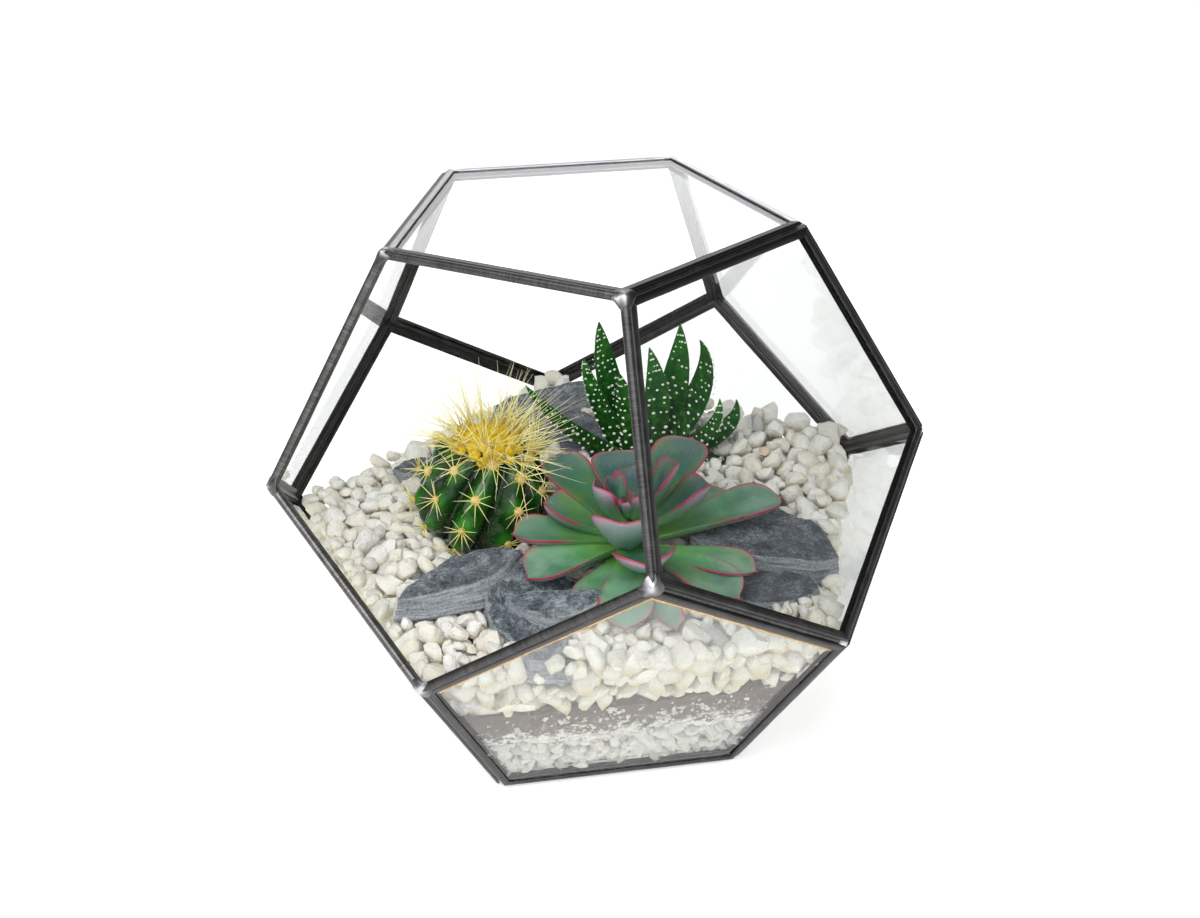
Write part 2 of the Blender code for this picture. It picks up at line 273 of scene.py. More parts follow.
def patina(name, *tones):
    """Blackened lead: three tones from black to worn, lighter or darker where a strip carries painted
    light, and a pale painted highlight where that runs high.
    """
    finish = Finish(name, Metallic=0.9)
    grain = finish.own("grain", "Vector")
    long_streaks = finish.noise(finish.stretched(grain, (45, 3200, 3200)), 1.0, 4.0, 0.6)
    patches = finish.noise(finish.place(), 220.0, 4.0, 0.6)
    # Painted light: a strip painted darker or lighter than the rest, for the reflections it shows.
    tone = finish.own("tone")
    wear = (long_streaks * 0.70 + patches * 0.30 + tone).between(0.30, 0.84)
    tarnish = finish.ramp(wear, *zip((0.0, 0.5, 1.0), tones))
    # Painted highlight: the strips painted lightest turn pale grey-violet.
    painted_highlight = tone.between(0.3, 1.0)
    finish.feed(Base_Color=finish.mix(painted_highlight, tarnish, PAINTED_HIGHLIGHT_COLOUR), Roughness=0.30 + 0.20 * patches)
    finish.bump(long_streaks * 0.8 + patches * 0.3, 0.00010, 0.4)
    return finish


def came_profile():
    """Section of the came as (inset from its back, height over the pane's middle)."""
    half = CAME_DEPTH / 2
    upper = [
        (CAME_WALL, half - CAME_WALL),
        (CAME_WIDTH, half - CAME_WALL),
        (CAME_WIDTH, half - CAME_LIP_RADIUS),
        (CAME_WIDTH - CAME_LIP_RADIUS, half),
    ]
    for k in range(CAME_BACK_STEPS + 1):
        turn = math.pi / 2 * k / CAME_BACK_STEPS
        inset = CAME_BACK_RADIUS * (1 - math.sin(turn))
        upper.append((inset, half - CAME_BACK_RADIUS * (1 - math.cos(turn))))
    return upper + [(inset, -height) for inset, height in reversed(upper)]


def cut_lengthwise(bm, cuts):
    """Cuts the edges that run the length of a side, so that it can waver."""
    lengthwise = [edge for edge in bm.edges if edge.calc_length() > EDGE / 2]
    bmesh.ops.subdivide_edges(bm, edges=lengthwise, cuts=cuts, use_grid_fill=True)


def came_ring(seed, tones):
    """The section swept round a pentagon. Its grain runs along each of the five strips."""
    bm = bmesh.new()
    outer = FACE_INRADIUS - CAME_SETBACK
    corner = 1 / math.cos(FIFTH / 2)
    section = [bm.verts.new((0, (outer - inset) * corner, height)) for inset, height in came_profile()]
    edges = [bm.edges.new((section[k - 1], section[k])) for k in range(len(section))]
    bmesh.ops.spin(
        bm, geom=section + edges, cent=(0, 0, 0), axis=(0, 0, 1), dvec=(0, 0, 0),
        angle=math.tau, steps=5, use_merge=True,
    )
    cut_lengthwise(bm, CAME_CUTS)
    bmesh.ops.recalc_face_normals(bm, faces=bm.faces)
    grain = bm.loops.layers.float_vector.new("grain")
    tone = bm.loops.layers.float.new("tone")
    for face in bm.faces:
        middle = face.calc_center_median()
        strip = math.floor((math.atan2(middle.y, middle.x) - math.pi / 2) / FIFTH) % 5
        out = bearing(math.pi / 2 + (strip + 0.5) * FIFTH)
        along = Vector((-out.y, out.x, 0))
        for loop in face.loops:
            spot = loop.vert.co
            loop[grain] = (spot.dot(along) + GRAIN_SHIFT * (strip + 7 * seed), spot.dot(out), spot.z)
            # The painted light of this strip, darker or lighter than the rest.
            loop[tone] = tones.get(strip, 0.0)
    for vert in bm.verts:
        dent = noise.noise(vert.co * DENT_SCALE + Vector((seed, 0, 0)))
        vert.co -= vert.normal * CAME_DENTS * (1 + dent)
    return bm


lead = patina("lead_patina", (0.030, 0.029, 0.029), (0.078, 0.076, 0.075), (0.205, 0.200, 0.196))
glazing = glazed_faces()
for seed, (name, placement) in enumerate(glazing.items()):
    ring = came_ring(seed, PAINTED_STRIP_LIGHT.get(name, {}))
    bmesh.ops.transform(ring, matrix=placement, verts=ring.verts)
    strip = show(f"came_strip_{name}", ring, lead, CREASE)
    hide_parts(f"came_{name}")


# Seams. Where two rings meet, a thin run of solder lies in the groove between their backs and closes
# it. It has taken less patina than the came, so it shows as a fine paler line. Round the open face,
# where a ring has no neighbour, a thicker run rounds off its bare edge.

MIDDLE_CORNER_RISE = EDGE * 0.262866
SEAM_RADIUS = 0.00100
SEAM_DEPTH = 0.00080
RIM_RADIUS = 0.00140
RIM_DEPTH = -0.00015
SEAM_SIDES = 12
SEAM_CUTS = 15
SEAM_WAVER = 0.25
# Painted light on the runs at the left of the rim.
LEFT_RIM_PAINTED_LIGHT = 0.12
OPENING = bearing(OPEN_FACE, FACE_TILT)


def corner_points():
    """The twenty corners of the vessel, as directions from its centre."""
    steep = math.asin(SOLID_INRADIUS / CORNER_RADIUS)
    shallow = math.asin(MIDDLE_CORNER_RISE / CORNER_RADIUS)
    points = []
    for k in range(5):
        points += [bearing(turned(k + 0.5), rise) for rise in (steep, shallow)]
        points += [bearing(turned(k), -rise) for rise in (shallow, steep)]
    return points


def on_rim(spot):
    """True for a spot, seen from the vessel's centre, on the outline of the open face."""
    return spot.dot(OPENING) > SOLID_INRADIUS - EDGE / 100


def placed_along(way, spot):
    """Placement at the spot, with local Z along the way."""
    return Matrix.Translation(spot) @ way.to_track_quat("Z", "Y").to_matrix().to_4x4()


def seam_rod(seed, start, end):
    """One run of solder from corner to corner. On the left of the rim the runs get a little painted light,
    as if lit from that side.
    """
    middle = (start + end) / 2
    along = (end - start).normalized()
    rim = on_rim(middle)
    radius = RIM_RADIUS if rim else SEAM_RADIUS
    inward = -middle.normalized() * (RIM_DEPTH if rim else SEAM_DEPTH)
    rod = bmesh.new()
    grain = rod.verts.layers.float_vector.new("grain")
    tone = rod.verts.layers.float.new("tone")
    bmesh.ops.create_cone(
        rod, segments=SEAM_SIDES, radius1=radius, radius2=radius, depth=EDGE,
        cap_ends=True, matrix=placed_along(along, CENTRE + middle + inward),
    )
    cut_lengthwise(rod, SEAM_CUTS)
    for vert in rod.verts:
        spot = vert.co - CENTRE - middle
        vert[grain] = (spot.dot(along) + GRAIN_SHIFT * seed, spot.length, 0)
        # Painted light: the left of the rim is painted a little paler.
        vert[tone] = LEFT_RIM_PAINTED_LIGHT if rim and middle.x < -EDGE / 10 else 0.0
        vert.co += inward * SEAM_WAVER * noise.noise(vert.co * 500)
    return rod


def join(whole, part):
    """Moves one bmesh into another."""
    mesh = bpy.data.meshes.new("part")
    part.to_mesh(mesh)
    part.free()
    whole.from_mesh(mesh)
    bpy.data.meshes.remove(mesh)


def seam_bodies():
    corners = [outward * CORNER_RADIUS for outward in corner_points()]
    bm = bmesh.new()
    for k, start in enumerate(corners):
        for end in corners[k + 1:]:
            if (end - start).length < EDGE * 1.01:
                join(bm, seam_rod(k, start, end))
    bmesh.ops.recalc_face_normals(bm, faces=bm.faces)
    return bm


worn = patina("worn_seam", (0.045, 0.044, 0.044), (0.105, 0.103, 0.102), (0.240, 0.235, 0.230))
seam_lines = show("came_seams", seam_bodies(), worn, CREASE)


# Panes. Thin float glass, cut to pentagons: clear, with a faint green cast, and mirror-like only
# where the view skims it. The CAD panes have the right shape, so they stay and get the glass.

PANE_THICKNESS = 0.0018
GLASS_GLOSS = 0.045


def window_glass():
    finish = Finish("window_glass", Metallic=1.0, Roughness=0.015)
    finish.feed(Base_Color=(0.96, 0.97, 0.97, 1))
    clear = finish.node("ShaderNodeBsdfTransparent", {}, {"Color": (0.968, 0.974, 0.971, 1)})
    facing = finish.node("ShaderNodeLayerWeight", {}, {"Blend": 0.5}, "Facing")
    skim = GLASS_GLOSS + (1 - GLASS_GLOSS) * facing.power(5)
    mirror = Wire(finish.shader.outputs[0])
    sheet = finish.node("ShaderNodeMixShader", {}, {0: skim, 1: clear, 2: mirror})
    connect(finish.tree, sheet, finish.output.inputs["Surface"])
    return finish


glass = window_glass()
for name in glazing:
    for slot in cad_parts[f"pane_{name}"].material_slots:
        slot.material = glass.material


# Foil. Thin copper tape is folded over each pane's edge under the came. Along the two upper edges of the
# front lower pane it was laid a little wide, so a bright line of copper shows inside the came.

FOIL_WIDTH = 0.0008
FOIL_THICKNESS = 0.00012
FOIL_CUTS = 11
FOIL_WAVER = FOIL_WIDTH * 0.3
FOIL_LEVEL = PANE_THICKNESS / 2 + FOIL_THICKNESS
# The two strips: to which side of the pane's top corner each lies, and how far inside the came's lip.
FOIL_EDGES = ((1, 0.0005), (-1, 0.0003))


def copper():
    finish = Finish("copper_foil", Metallic=0.6)
    wrinkles = finish.noise(finish.place(), 700.0)
    tones = finish.ramp(wrinkles, (0.35, (0.55, 0.31, 0.10)), (0.65, (0.80, 0.54, 0.25)))
    finish.feed(Base_Color=tones, Roughness=0.30 + 0.2 * wrinkles)
    finish.bump(wrinkles, 0.0001, 0.4)
    return finish


foil = bmesh.new()
for side, gap in FOIL_EDGES:
    turn = Matrix.Rotation(side * FIFTH / 2, 4, "Z")
    reach = FACE_INRADIUS - CAME_SETBACK - CAME_WIDTH - gap - FOIL_WIDTH / 2
    length = 2 * reach * math.tan(FIFTH / 2)
    shape = Matrix.Diagonal((length, FOIL_WIDTH, FOIL_THICKNESS, 1))
    bmesh.ops.create_cube(foil, size=1, matrix=turn @ Matrix.Translation((0, reach, FOIL_LEVEL)) @ shape)
cut_lengthwise(foil, FOIL_CUTS)
for vert in foil.verts:
    vert.co.x += FOIL_WAVER * noise.noise(vert.co * 300)
    vert.co.y += FOIL_WAVER * noise.noise(vert.co * 300 + Vector((9, 0, 0)))
bmesh.ops.transform(foil, matrix=glazing["lower_1"], verts=foil.verts)
foil_lines = show("copper_foil", foil, copper())


# Solder. A bead of tin solder, laid by hand, bridges the rings at each of the twenty corners and runs
# a little way down the three seams. It is left unpatinated, so it shines against the dark came.

BEAD_RADIUS = 0.0021
BEAD_RUN = 0.0019
BEAD_HEIGHT = 0.0010
BEAD_SINK = 0.0004
BEAD_RIM_LIFT = 0.0013
BEAD_LUMPS = 0.12
# The painted highlight on each bead: its strength and its offset from the middle.
BEAD_GLINT = 1.15
GLINT_DOWN = 0.25
GLINT_ASIDE = 0.20
CORNER_SLOPE = math.tan(math.asin(EDGE / 2 / CORNER_RADIUS))


def solder():
    finish = Finish("bright_solder", Metallic=1.0)
    smears = finish.noise(finish.place(), 420.0, 4.0, 0.6)
    # The painted highlight with a random mottle over it, which the ramp turns from dark to pale.
    bright = finish.own("bright")
    tones = finish.ramp(
        bright * 0.8 + smears * 0.3,
        (0.22, (0.13, 0.127, 0.125)), (0.50, (0.28, 0.275, 0.285)), (0.85, (0.62, 0.61, 0.65)),
    )
    finish.feed(Base_Color=tones, Roughness=0.30 + 0.20 * smears)
    finish.bump(smears, 0.0002, 0.5)
    return finish


def solder_bead(outward, seams, seed):
    """A flattened drop, drawn out a little along the seams. A painted highlight makes it brightest beside
    the uppermost.
    """
    bead = bmesh.new()
    bmesh.ops.create_icosphere(bead, subdivisions=4, radius=1)
    bright = bead.verts.layers.float.new("bright")
    offset = Vector((3 * seed, 0, 0))
    upper = max(seams, key=lambda seam: seam.z)
    across = outward.cross(upper)
    base = CORNER_RADIUS - BEAD_SINK + (BEAD_RIM_LIFT if on_rim(outward * CORNER_RADIUS) else 0)
    for vert in bead.verts:
        way = vert.co.copy()
        height = way.dot(outward)
        flat = way - outward * height
        length = sum(max(0.0, flat.dot(seam)) ** 2 for seam in seams)
        lump = 1 + BEAD_LUMPS * noise.noise(way * 1.6 + offset)
        spot = flat * (BEAD_RADIUS + BEAD_RUN * length)
        # Painted highlight: a bright patch beside the uppermost seam.
        down = spot.dot(upper) / BEAD_RADIUS - GLINT_DOWN
        aside = (spot.dot(across) / BEAD_RADIUS - GLINT_ASIDE) * 1.4
        glint = BEAD_GLINT * math.exp(-0.9 * (down ** 2 + aside ** 2))
        vert[bright] = glint + 0.30 * noise.noise(way * 1.5 + offset)
        vert.co = spot * lump + CENTRE
        vert.co += outward * (base + BEAD_HEIGHT * lump * height - CORNER_SLOPE * spot.length)
        vert.co.z = min(max(vert.co.z, cad_low[2]), cad_high[2] + BEAD_SINK)
    return bead


tin = solder()
corners = corner_points()
for k, outward in enumerate(corners):
    nearest = sorted(corners, key=outward.dot, reverse=True)[1:4]
    seams = [(other - outward * other.dot(outward)).normalized() for other in nearest]
    joint = show(f"solder_{k + 1:02d}", solder_bead(outward, seams, k), tin)


# Drainage grit. Washed white marble chips, a few millimetres across, poured in first. Only the chips
# against the panes show, so those are laid one by one over a plain core.

PANE_GAP = 0.0012
FILL_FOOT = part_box("drainage_grit")[0][2]
GRIT_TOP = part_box("drainage_grit")[1][2]
GRIT_RADII = (0.0015, 0.0019, 0.0023, 0.0027)
GRIT_SHELL = 0.0050
GRIT_CORE_INSET = PANE_GAP + 0.0030
STONE_LIMIT = 6000
SPOTS_OFFERED = 40
SPOTS_NEARBY = 12
SETTLING_STEPS = (0.9, 0.5, 0.25)
MISSES_ALLOWED = 60
STONE_LAYERS = ("tint", "shade", "stain")
STONE_PLANES = 9
STONE_FACETS = (0.68, 1.0)
STONE_SHARPNESS = 12
STONE_LUMPS = 0.060
STONE_SWELL = 1.12
STONE_LEAST = (1.0, 0.80, 0.65)
STONE_MOST = (1.40, 1.10, 0.95)
STONE_CREASE = math.radians(48)
STAIN_REACH = 0.011
CORE_CUTS = 24
PANE_NORMALS = np.array([bearing(turned(k + 0.5), -FACE_TILT) for k in range(5)])


def pane_distance(points):
    """Distance from points inside the vessel to the nearest of the five lower panes' middles."""
    return (SOLID_INRADIUS - (points - np.array(CENTRE)) @ PANE_NORMALS.T).min(axis=1)


def pane_height(spots, radius):
    """Height at which balls over the spots come to touch the sloping lower panes."""
    flat = spots @ PANE_NORMALS[:, :2].T - (SOLID_INRADIUS - PANE_GAP - radius)
    return CENTRE.z + flat.max(axis=1) / math.sin(FACE_TILT)


class Pour:
    """Stones poured into the vessel: balls that come to rest on the panes, the ground or each other."""

    def __init__(self, seed, reach, blocked=lambda centre, radius: False):
        self.rng = np.random.default_rng(seed)
        self.reach = reach
        self.balls = np.zeros((STONE_LIMIT, 4))
        self.count = 0
        self.blocked = blocked

    def rest(self, spots, radius, ground):
        """Heights at which a ball dropped on the spots comes to rest."""
        height = np.maximum(pane_height(spots, radius), ground(spots) + radius)
        laid = self.balls[:self.count]
        apart = ((spots[:, None, :] - laid[None, :, :2]) ** 2).sum(axis=2)
        touch = (radius + laid[:, 3]) ** 2 - apart
        over = np.where(touch > 0, laid[:, 2] + np.sqrt(np.maximum(touch, 0)), -1)
        return np.maximum(height, over.max(axis=1, initial=-1))

    def lowest(self, spots, radius, ground, ceiling, shell):
        """The spot, of those offered, where a ball would come to rest lowest and in nothing's way."""
        height = self.rest(spots, radius, ground)
        points = np.column_stack((spots, height))
        fitting = (height < ceiling(spots)) & (pane_distance(points) < shell + radius)
        for best in np.argsort(height):
            if fitting[best] and not self.blocked(Vector(points[best]), radius):
                return points[best]
        return None

    def lay(self, radii, ground, ceiling, shell):
        """Lays balls until none fits: over the ground, under the ceiling, within the shell."""
        misses = 0
        while misses < MISSES_ALLOWED:
            radius = self.rng.choice(radii)
            spots = self.rng.uniform(-self.reach, self.reach, (SPOTS_OFFERED, 2))
            place = self.lowest(spots, radius, ground, ceiling, shell)
            if place is None:
                misses += 1
                continue
            for step in SETTLING_STEPS:
                nearby = place[:2] + self.rng.normal(0, step * radius, (SPOTS_NEARBY, 2))
                lower = self.lowest(nearby, radius, ground, ceiling, shell)
                if lower is not None and lower[2] < place[2]:
                    place = lower
            self.balls[self.count] = (*place, radius)
            self.count += 1

    def stones(self):
        return self.balls[:self.count]


class Heap:
    """Many small shapes in one bmesh. They are made a few at a time, as each new one slows the next."""

    def __init__(self, *layers):
        self.layers = layers
        self.whole = self.fresh()
        self.part = self.fresh()

    def fresh(self):
        bm = bmesh.new()
        for name in self.layers:
            bm.verts.layers.float.new(name)
        return bm

    def small(self):
        if len(self.part.verts) > 1500:
            self.gather()
        return self.part

    def gather(self):
        join(self.whole, self.part)
        self.part = self.fresh()
        return self.whole


def add_stone(heap, rng, centre, radius, fineness):
    """One chip: a ball pressed against random planes, its edges rounded, then stretched and turned."""
    bm = heap.small()
    tint, shade, stain = (bm.verts.layers.float[name] for name in STONE_LAYERS)
    verts = bmesh.ops.create_icosphere(bm, subdivisions=fineness, radius=1)["verts"]
    ways = np.array([vert.co for vert in verts])
    planes = rng.normal(size=(STONE_PLANES, 3))
    planes /= np.linalg.norm(planes, axis=1)[:, None] * rng.uniform(*STONE_FACETS, (STONE_PLANES, 1))
    pressed = np.maximum(ways @ planes.T, 0.05) ** STONE_SHARPNESS
    reach = np.minimum(pressed.sum(axis=1) ** (-1 / STONE_SHARPNESS), 1.25)
    reach *= 1 + STONE_LUMPS * np.sin(ways @ rng.normal(size=(3, 3)) * 4 + rng.uniform(0, 6, 3)).sum(axis=1)
    stretch = radius * STONE_SWELL * rng.uniform(STONE_LEAST, STONE_MOST)
    turn = np.array(Matrix.Rotation(rng.uniform(0, math.tau), 3, Vector(rng.normal(size=3))))
    places = (ways * reach[:, None] * stretch) @ turn.T + centre
    drawn = rng.random()
    # How far below the stone's middle each point lies, for the painted shade in the gaps.
    low = (centre[2] - places[:, 2]) / radius
    beside = 1 - pane_distance(centre[None])[0] / STAIN_REACH
    for vert, place, depth in zip(verts, places, low):
        vert.co = place
        vert[tint] = drawn
        vert[shade] = depth
        vert[stain] = beside


def chips(name, balls, finish, seed, fineness=2):
    heap = Heap(*STONE_LAYERS)
    rng = np.random.default_rng(seed)
    for x, y, z, radius in balls:
        add_stone(heap, rng, np.array((x, y, z)), radius, fineness)
    return show(name, heap.gather(), finish, STONE_CREASE)


def fill_core(foot, top, inset):
    """A slice of the fill: a five-sided block whose sides follow the lower panes, this far inside."""
    middle = [FACE_INRADIUS + (height - CAME_DEPTH / 2) / 2 - inset / math.cos(FACE_TILT)
              for height in (foot, top)]
    corner = 1 / math.cos(FIFTH / 2)
    bm = bmesh.new()
    bmesh.ops.create_cone(
        bm, segments=5, radius1=middle[0] * corner, radius2=middle[1] * corner,
        depth=top - foot, cap_ends=True, cap_tris=False,
    )
    first = next(v for v in bm.verts if v.co.z > 0)
    turn = OPEN_FACE - math.atan2(first.co.y, first.co.x)
    bmesh.ops.rotate(bm, verts=bm.verts, cent=(0, 0, 0), matrix=Matrix.Rotation(turn, 3, "Z"))
    bmesh.ops.translate(bm, verts=bm.verts, vec=(0, 0, (foot + top) / 2))
    bmesh.ops.subdivide_edges(bm, edges=bm.edges, cuts=CORE_CUTS, use_grid_fill=True)
    bmesh.ops.triangulate(bm, faces=bm.faces)
    return bm


def roughen(bm, amount, scale):
    """Sinks the skin unevenly, by up to the amount."""
    for vert in bm.verts:
        vert.co -= vert.normal * amount * (0.5 + 0.5 * noise.noise(vert.co * scale))


def marble(name, pale, warm, painted_gap_shade, stained):
    """Sugary marble: painted shade on the stones' undersides in the gaps, stained by damp beside the panes,
    with odd chips and specks.
    """
    finish = Finish(name)
    place = finish.place()
    tint = finish.own("tint")
    shade = finish.own("shade")
    clouds = finish.noise(place, 210.0, 4.0, 0.6)
    sugar = finish.noise(place, 1200.0, 3.0, 0.7)
    lumps = finish.noise(place, 520.0, 3.0, 0.6)
    specks = finish.noise(place, 1300.0, 1.0).between(0.755, 0.78)
    body = finish.coats(
        pale,
        ((tint * 0.6 + clouds * 0.6).between(0.35, 1.05), warm),
        # Painted shade: the lower side of each stone, down in the gaps, turns darker and yellower.
        ((shade + 1.4 * clouds - 0.7).between(-0.2, 1.0) * 0.9, painted_gap_shade),
        ((finish.own("stain") + 0.8 * clouds - 0.4).between(0.2, 1.0) * 0.6, stained),
        (tint.between(0.992, 0.994), (0.80, 0.64, 0.47)),
        ((1 - tint).between(0.994, 0.996), (0.56, 0.57, 0.56)),
        (specks * 0.85, (0.05, 0.045, 0.04)),
    )
    finish.feed(Base_Color=body, Roughness=0.45 + 0.3 * clouds)
    finish.bump(sugar * 0.8 + lumps + clouds, 0.0012, 0.7)
    return finish


# The fourth colour is the painted shade in the gaps.
grit_marble = marble("grit_marble", (0.78, 0.78, 0.74), (0.74, 0.73, 0.66), (0.62, 0.60, 0.50),
                     (0.77, 0.76, 0.70))
core = fill_core(FILL_FOOT, GRIT_TOP, GRIT_CORE_INSET)
roughen(core, 0.0012, 500)
grit_core = show("grit_core", core, grit_marble)
grit_pour = Pour(seed=3, reach=0.075)
grit_pour.lay(GRIT_RADII, lambda spots: FILL_FOOT, lambda spots: GRIT_TOP + 0.001, GRIT_SHELL)
grit = chips("grit_chips", grit_pour.stones(), grit_marble, seed=4)
for piece in (grit_core, grit):
    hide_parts("drainage_grit")


# Soil. A band of fine dark compost pressed flat against the panes. Its edges are ragged, and white
# dust and crumbs from the marble have settled into its lower half.

SOIL_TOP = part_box("soil_band")[1][2]
SOIL_INSET = PANE_GAP + 0.0009
SOIL_RAGGED = 0.0035
DUST_SINK = 0.006
DUST_RISE = 0.016
CRUMBS = 1700
CRUMB_SINK = 0.002
CRUMB_RISE = 0.020
CRUMB_RADIUS = 0.00025
CRUMB_SPREAD = 0.0008


def compost():
    finish = Finish("pressed_compost", Roughness=0.9)
    place = finish.place()
    fine = finish.noise(place, 1400.0)
    broad = finish.noise(place, 130.0)
    body = finish.ramp(
        fine * 0.4 + broad * 0.6,
        (0.30, (0.036, 0.018, 0.008)), (0.55, (0.088, 0.047, 0.026)), (0.80, (0.180, 0.112, 0.072)),
    )
    height = finish.node("ShaderNodeSeparateXYZ", {}, {0: place}, "Z")
    low = 1 - height.between(GRIT_TOP - DUST_SINK, GRIT_TOP + DUST_RISE)
    patches = finish.noise(finish.stretched(place, (240, 240, 330)), 1.0, 7.0, 0.86)
    dust = (patches + low * 0.20).between(0.595, 0.625)
    finish.feed(Base_Color=finish.mix(dust * 0.92, body, (0.80, 0.78, 0.71)))
    finish.bump(fine + broad, 0.0004, 0.5)
    return finish


def crumb_balls():
    """Crumbs pressed against the five panes, crowded towards the foot of the band."""
    rng = np.random.default_rng(8)
    for _ in range(CRUMBS):
        k = rng.integers(5)
        angle = turned(k + 0.5)
        rise = GRIT_TOP - CRUMB_SINK + CRUMB_RISE * rng.random() ** 1.6
        radius = CRUMB_RADIUS + CRUMB_SPREAD * rng.random() ** 2
        side = np.array((-math.sin(angle), math.cos(angle), 0))
        upward = np.array(bearing(angle, math.pi / 2 - FACE_TILT))
        foot = np.array(CENTRE) + PANE_NORMALS[k] * (SOLID_INRADIUS - SOIL_INSET - 0.2 * radius)
        climb = (rise - foot[2]) / upward[2]
        width = FACE_INRADIUS * 0.80 + 0.5 * (rise - 0.03)
        yield (*(foot + upward * climb + side * rng.uniform(-width, width) * 0.85), radius)


soil = fill_core(GRIT_TOP, SOIL_TOP, SOIL_INSET)
for vert in soil.verts:
    share = (vert.co.z - GRIT_TOP) / (SOIL_TOP - GRIT_TOP)
    wave = noise.noise(vert.co * 110) + 0.6 * noise.noise(vert.co * 330)
    lift = SOIL_RAGGED * wave * max(share, 1 - share)
    vert.co += Vector((vert.co.x, vert.co.y, 0)).normalized() * lift / 2 + Vector((0, 0, lift))
soil_piece = show("soil_block", soil, compost())
crumbs = chips("soil_crumbs", crumb_balls(), grit_marble, seed=9, fineness=1)
for piece in (soil_piece, crumbs):
    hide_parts("soil_band")


# Slate chips. Split pieces of blue-grey slate, laid in the gravel. Each is a stack of thin leaves that
# broke off unevenly: the faces are terraced and streaked, and the sides are stepped and paler.

SLATE_LEAVES = 7
LEAF_OVERLAP = 1.15
SLATE_VOXEL = 0.00055
SLATE_TERRACE = 0.0012
SLATE_STEPS = 3.5
SLATE_LEDGE = 0.0008
SIDE_FLECK = 0.00035
FACE_FLECK = 0.00025
SLATE_CREASE = math.radians(40)
# Each chip: its CAD node, thickness, roughness, and its upper outline as corners of x, y, height and
# how far the side spreads below that corner, all in millimetres.
SLATE_CHIPS = (
    ("slate_1", 6.5, 0.7, (
        (-26, -83, 77, 2), (-16, -74, 78, 4.5), (-8, -64, 78, 5), (-4, -55, 78.5, 4), (-4, -42, 79, 1),
        (-12, -45, 79.5, 0.5), (-17, -50, 79.5, 0.5), (-20, -55, 79, 0.5), (-22, -53, 79, 0.5),
        (-25, -66, 78.5, 0.5), (-27, -77, 77.5, 0.5),
    )),
    ("slate_2", 7.5, 1.4, (
        (-5, -41, 77, 0.5), (7, -42, 75, 0.5), (19, -44, 73, 0.5), (23, -54, 73, 1), (27, -71, 71, 1),
        (31, -79, 69.5, 1), (21, -83, 69.5, 1), (12, -77, 70.5, 1.5), (4, -75, 71.5, 1.5),
        (-2, -69, 72.5, 1.5), (-5, -63, 74.5, 1), (-4, -56, 76, 1),
    )),
    ("slate_3", 4.5, 1.1, (
        (5, -67, 76.5, 0.5), (6, -64, 77.5, 0.5), (10, -61, 78.5, 0.5), (20, -57, 78.5, 0.5),
        (30, -51, 78, 0.5), (31, -56, 77, 1.5), (27, -61, 76, 2.5), (19, -66.5, 75, 3),
        (11, -67.5, 75.5, 2),
    )),
    ("slate_4", 9.0, 0.8, (
        (38, 6, 79, 0.5), (43, 16, 80, 0.5), (49, 30, 81, 0.5), (60, 24, 80, 0.5), (63, 19, 79, 0.5),
        (69, 18, 78, 0.5), (74, 20, 77, 0.5), (79, 17, 76.5, 1), (84, 11, 76, 1), (89.5, 4, 75, 0.5),
        (83, -2, 75, 0.5), (67, -8, 76, 0.5), (60, -9, 76, 0.5), (51, -12, 76, 0.5), (41, -7, 77, 1),
    )),
    ("slate_5", 6.0, 0.9, (
        (57, -23, 71.5, 1), (60, -12, 72, 0.5), (75, -6, 72, 0.5), (82, -6, 71.8, 0.5),
        (87.5, -9.5, 71.5, 0.5), (87, -14, 71, 1), (80.5, -20, 70.5, 1), (74, -26, 70.5, 1),
        (68, -26.5, 70.5, 1),
    )),
    ("slate_6", 7.0, 0.9, (
        (-66, 45, 78.5, 1), (-63, 52, 80, 0.5), (-56, 60, 81, 0.5), (-47, 69, 82, 0.5),
        (-40, 76, 82.5, 0.5), (-35, 76, 82.5, 0.5), (-34, 70, 81.5, 1), (-38, 64, 80.5, 2),
        (-47, 55, 79.5, 2.5), (-56, 48, 79, 2.5),
    )),
    ("slate_7", 6.5, 1.0, (
        (-57, 42, 77, 1), (-54, 48, 78, 0.5), (-46, 54, 79, 0.5), (-32, 57, 79, 0.5), (-20, 53, 78, 1),
        (-14, 44, 76, 1), (-20, 36, 75, 1.5), (-30, 32, 74.5, 2), (-40, 32, 75.5, 2), (-50, 35, 76, 1.5),
    )),
    ("slate_8", 5.0, 0.9, (
        (-79, -6, 73.5, 1), (-77, -1, 75, 0.5), (-72, 2, 76, 0.5), (-65, 3, 76, 0.5), (-63, -1, 75.5, 1),
        (-66, -6, 74.5, 1.5), (-73, -8, 74, 1.5),
    )),
)


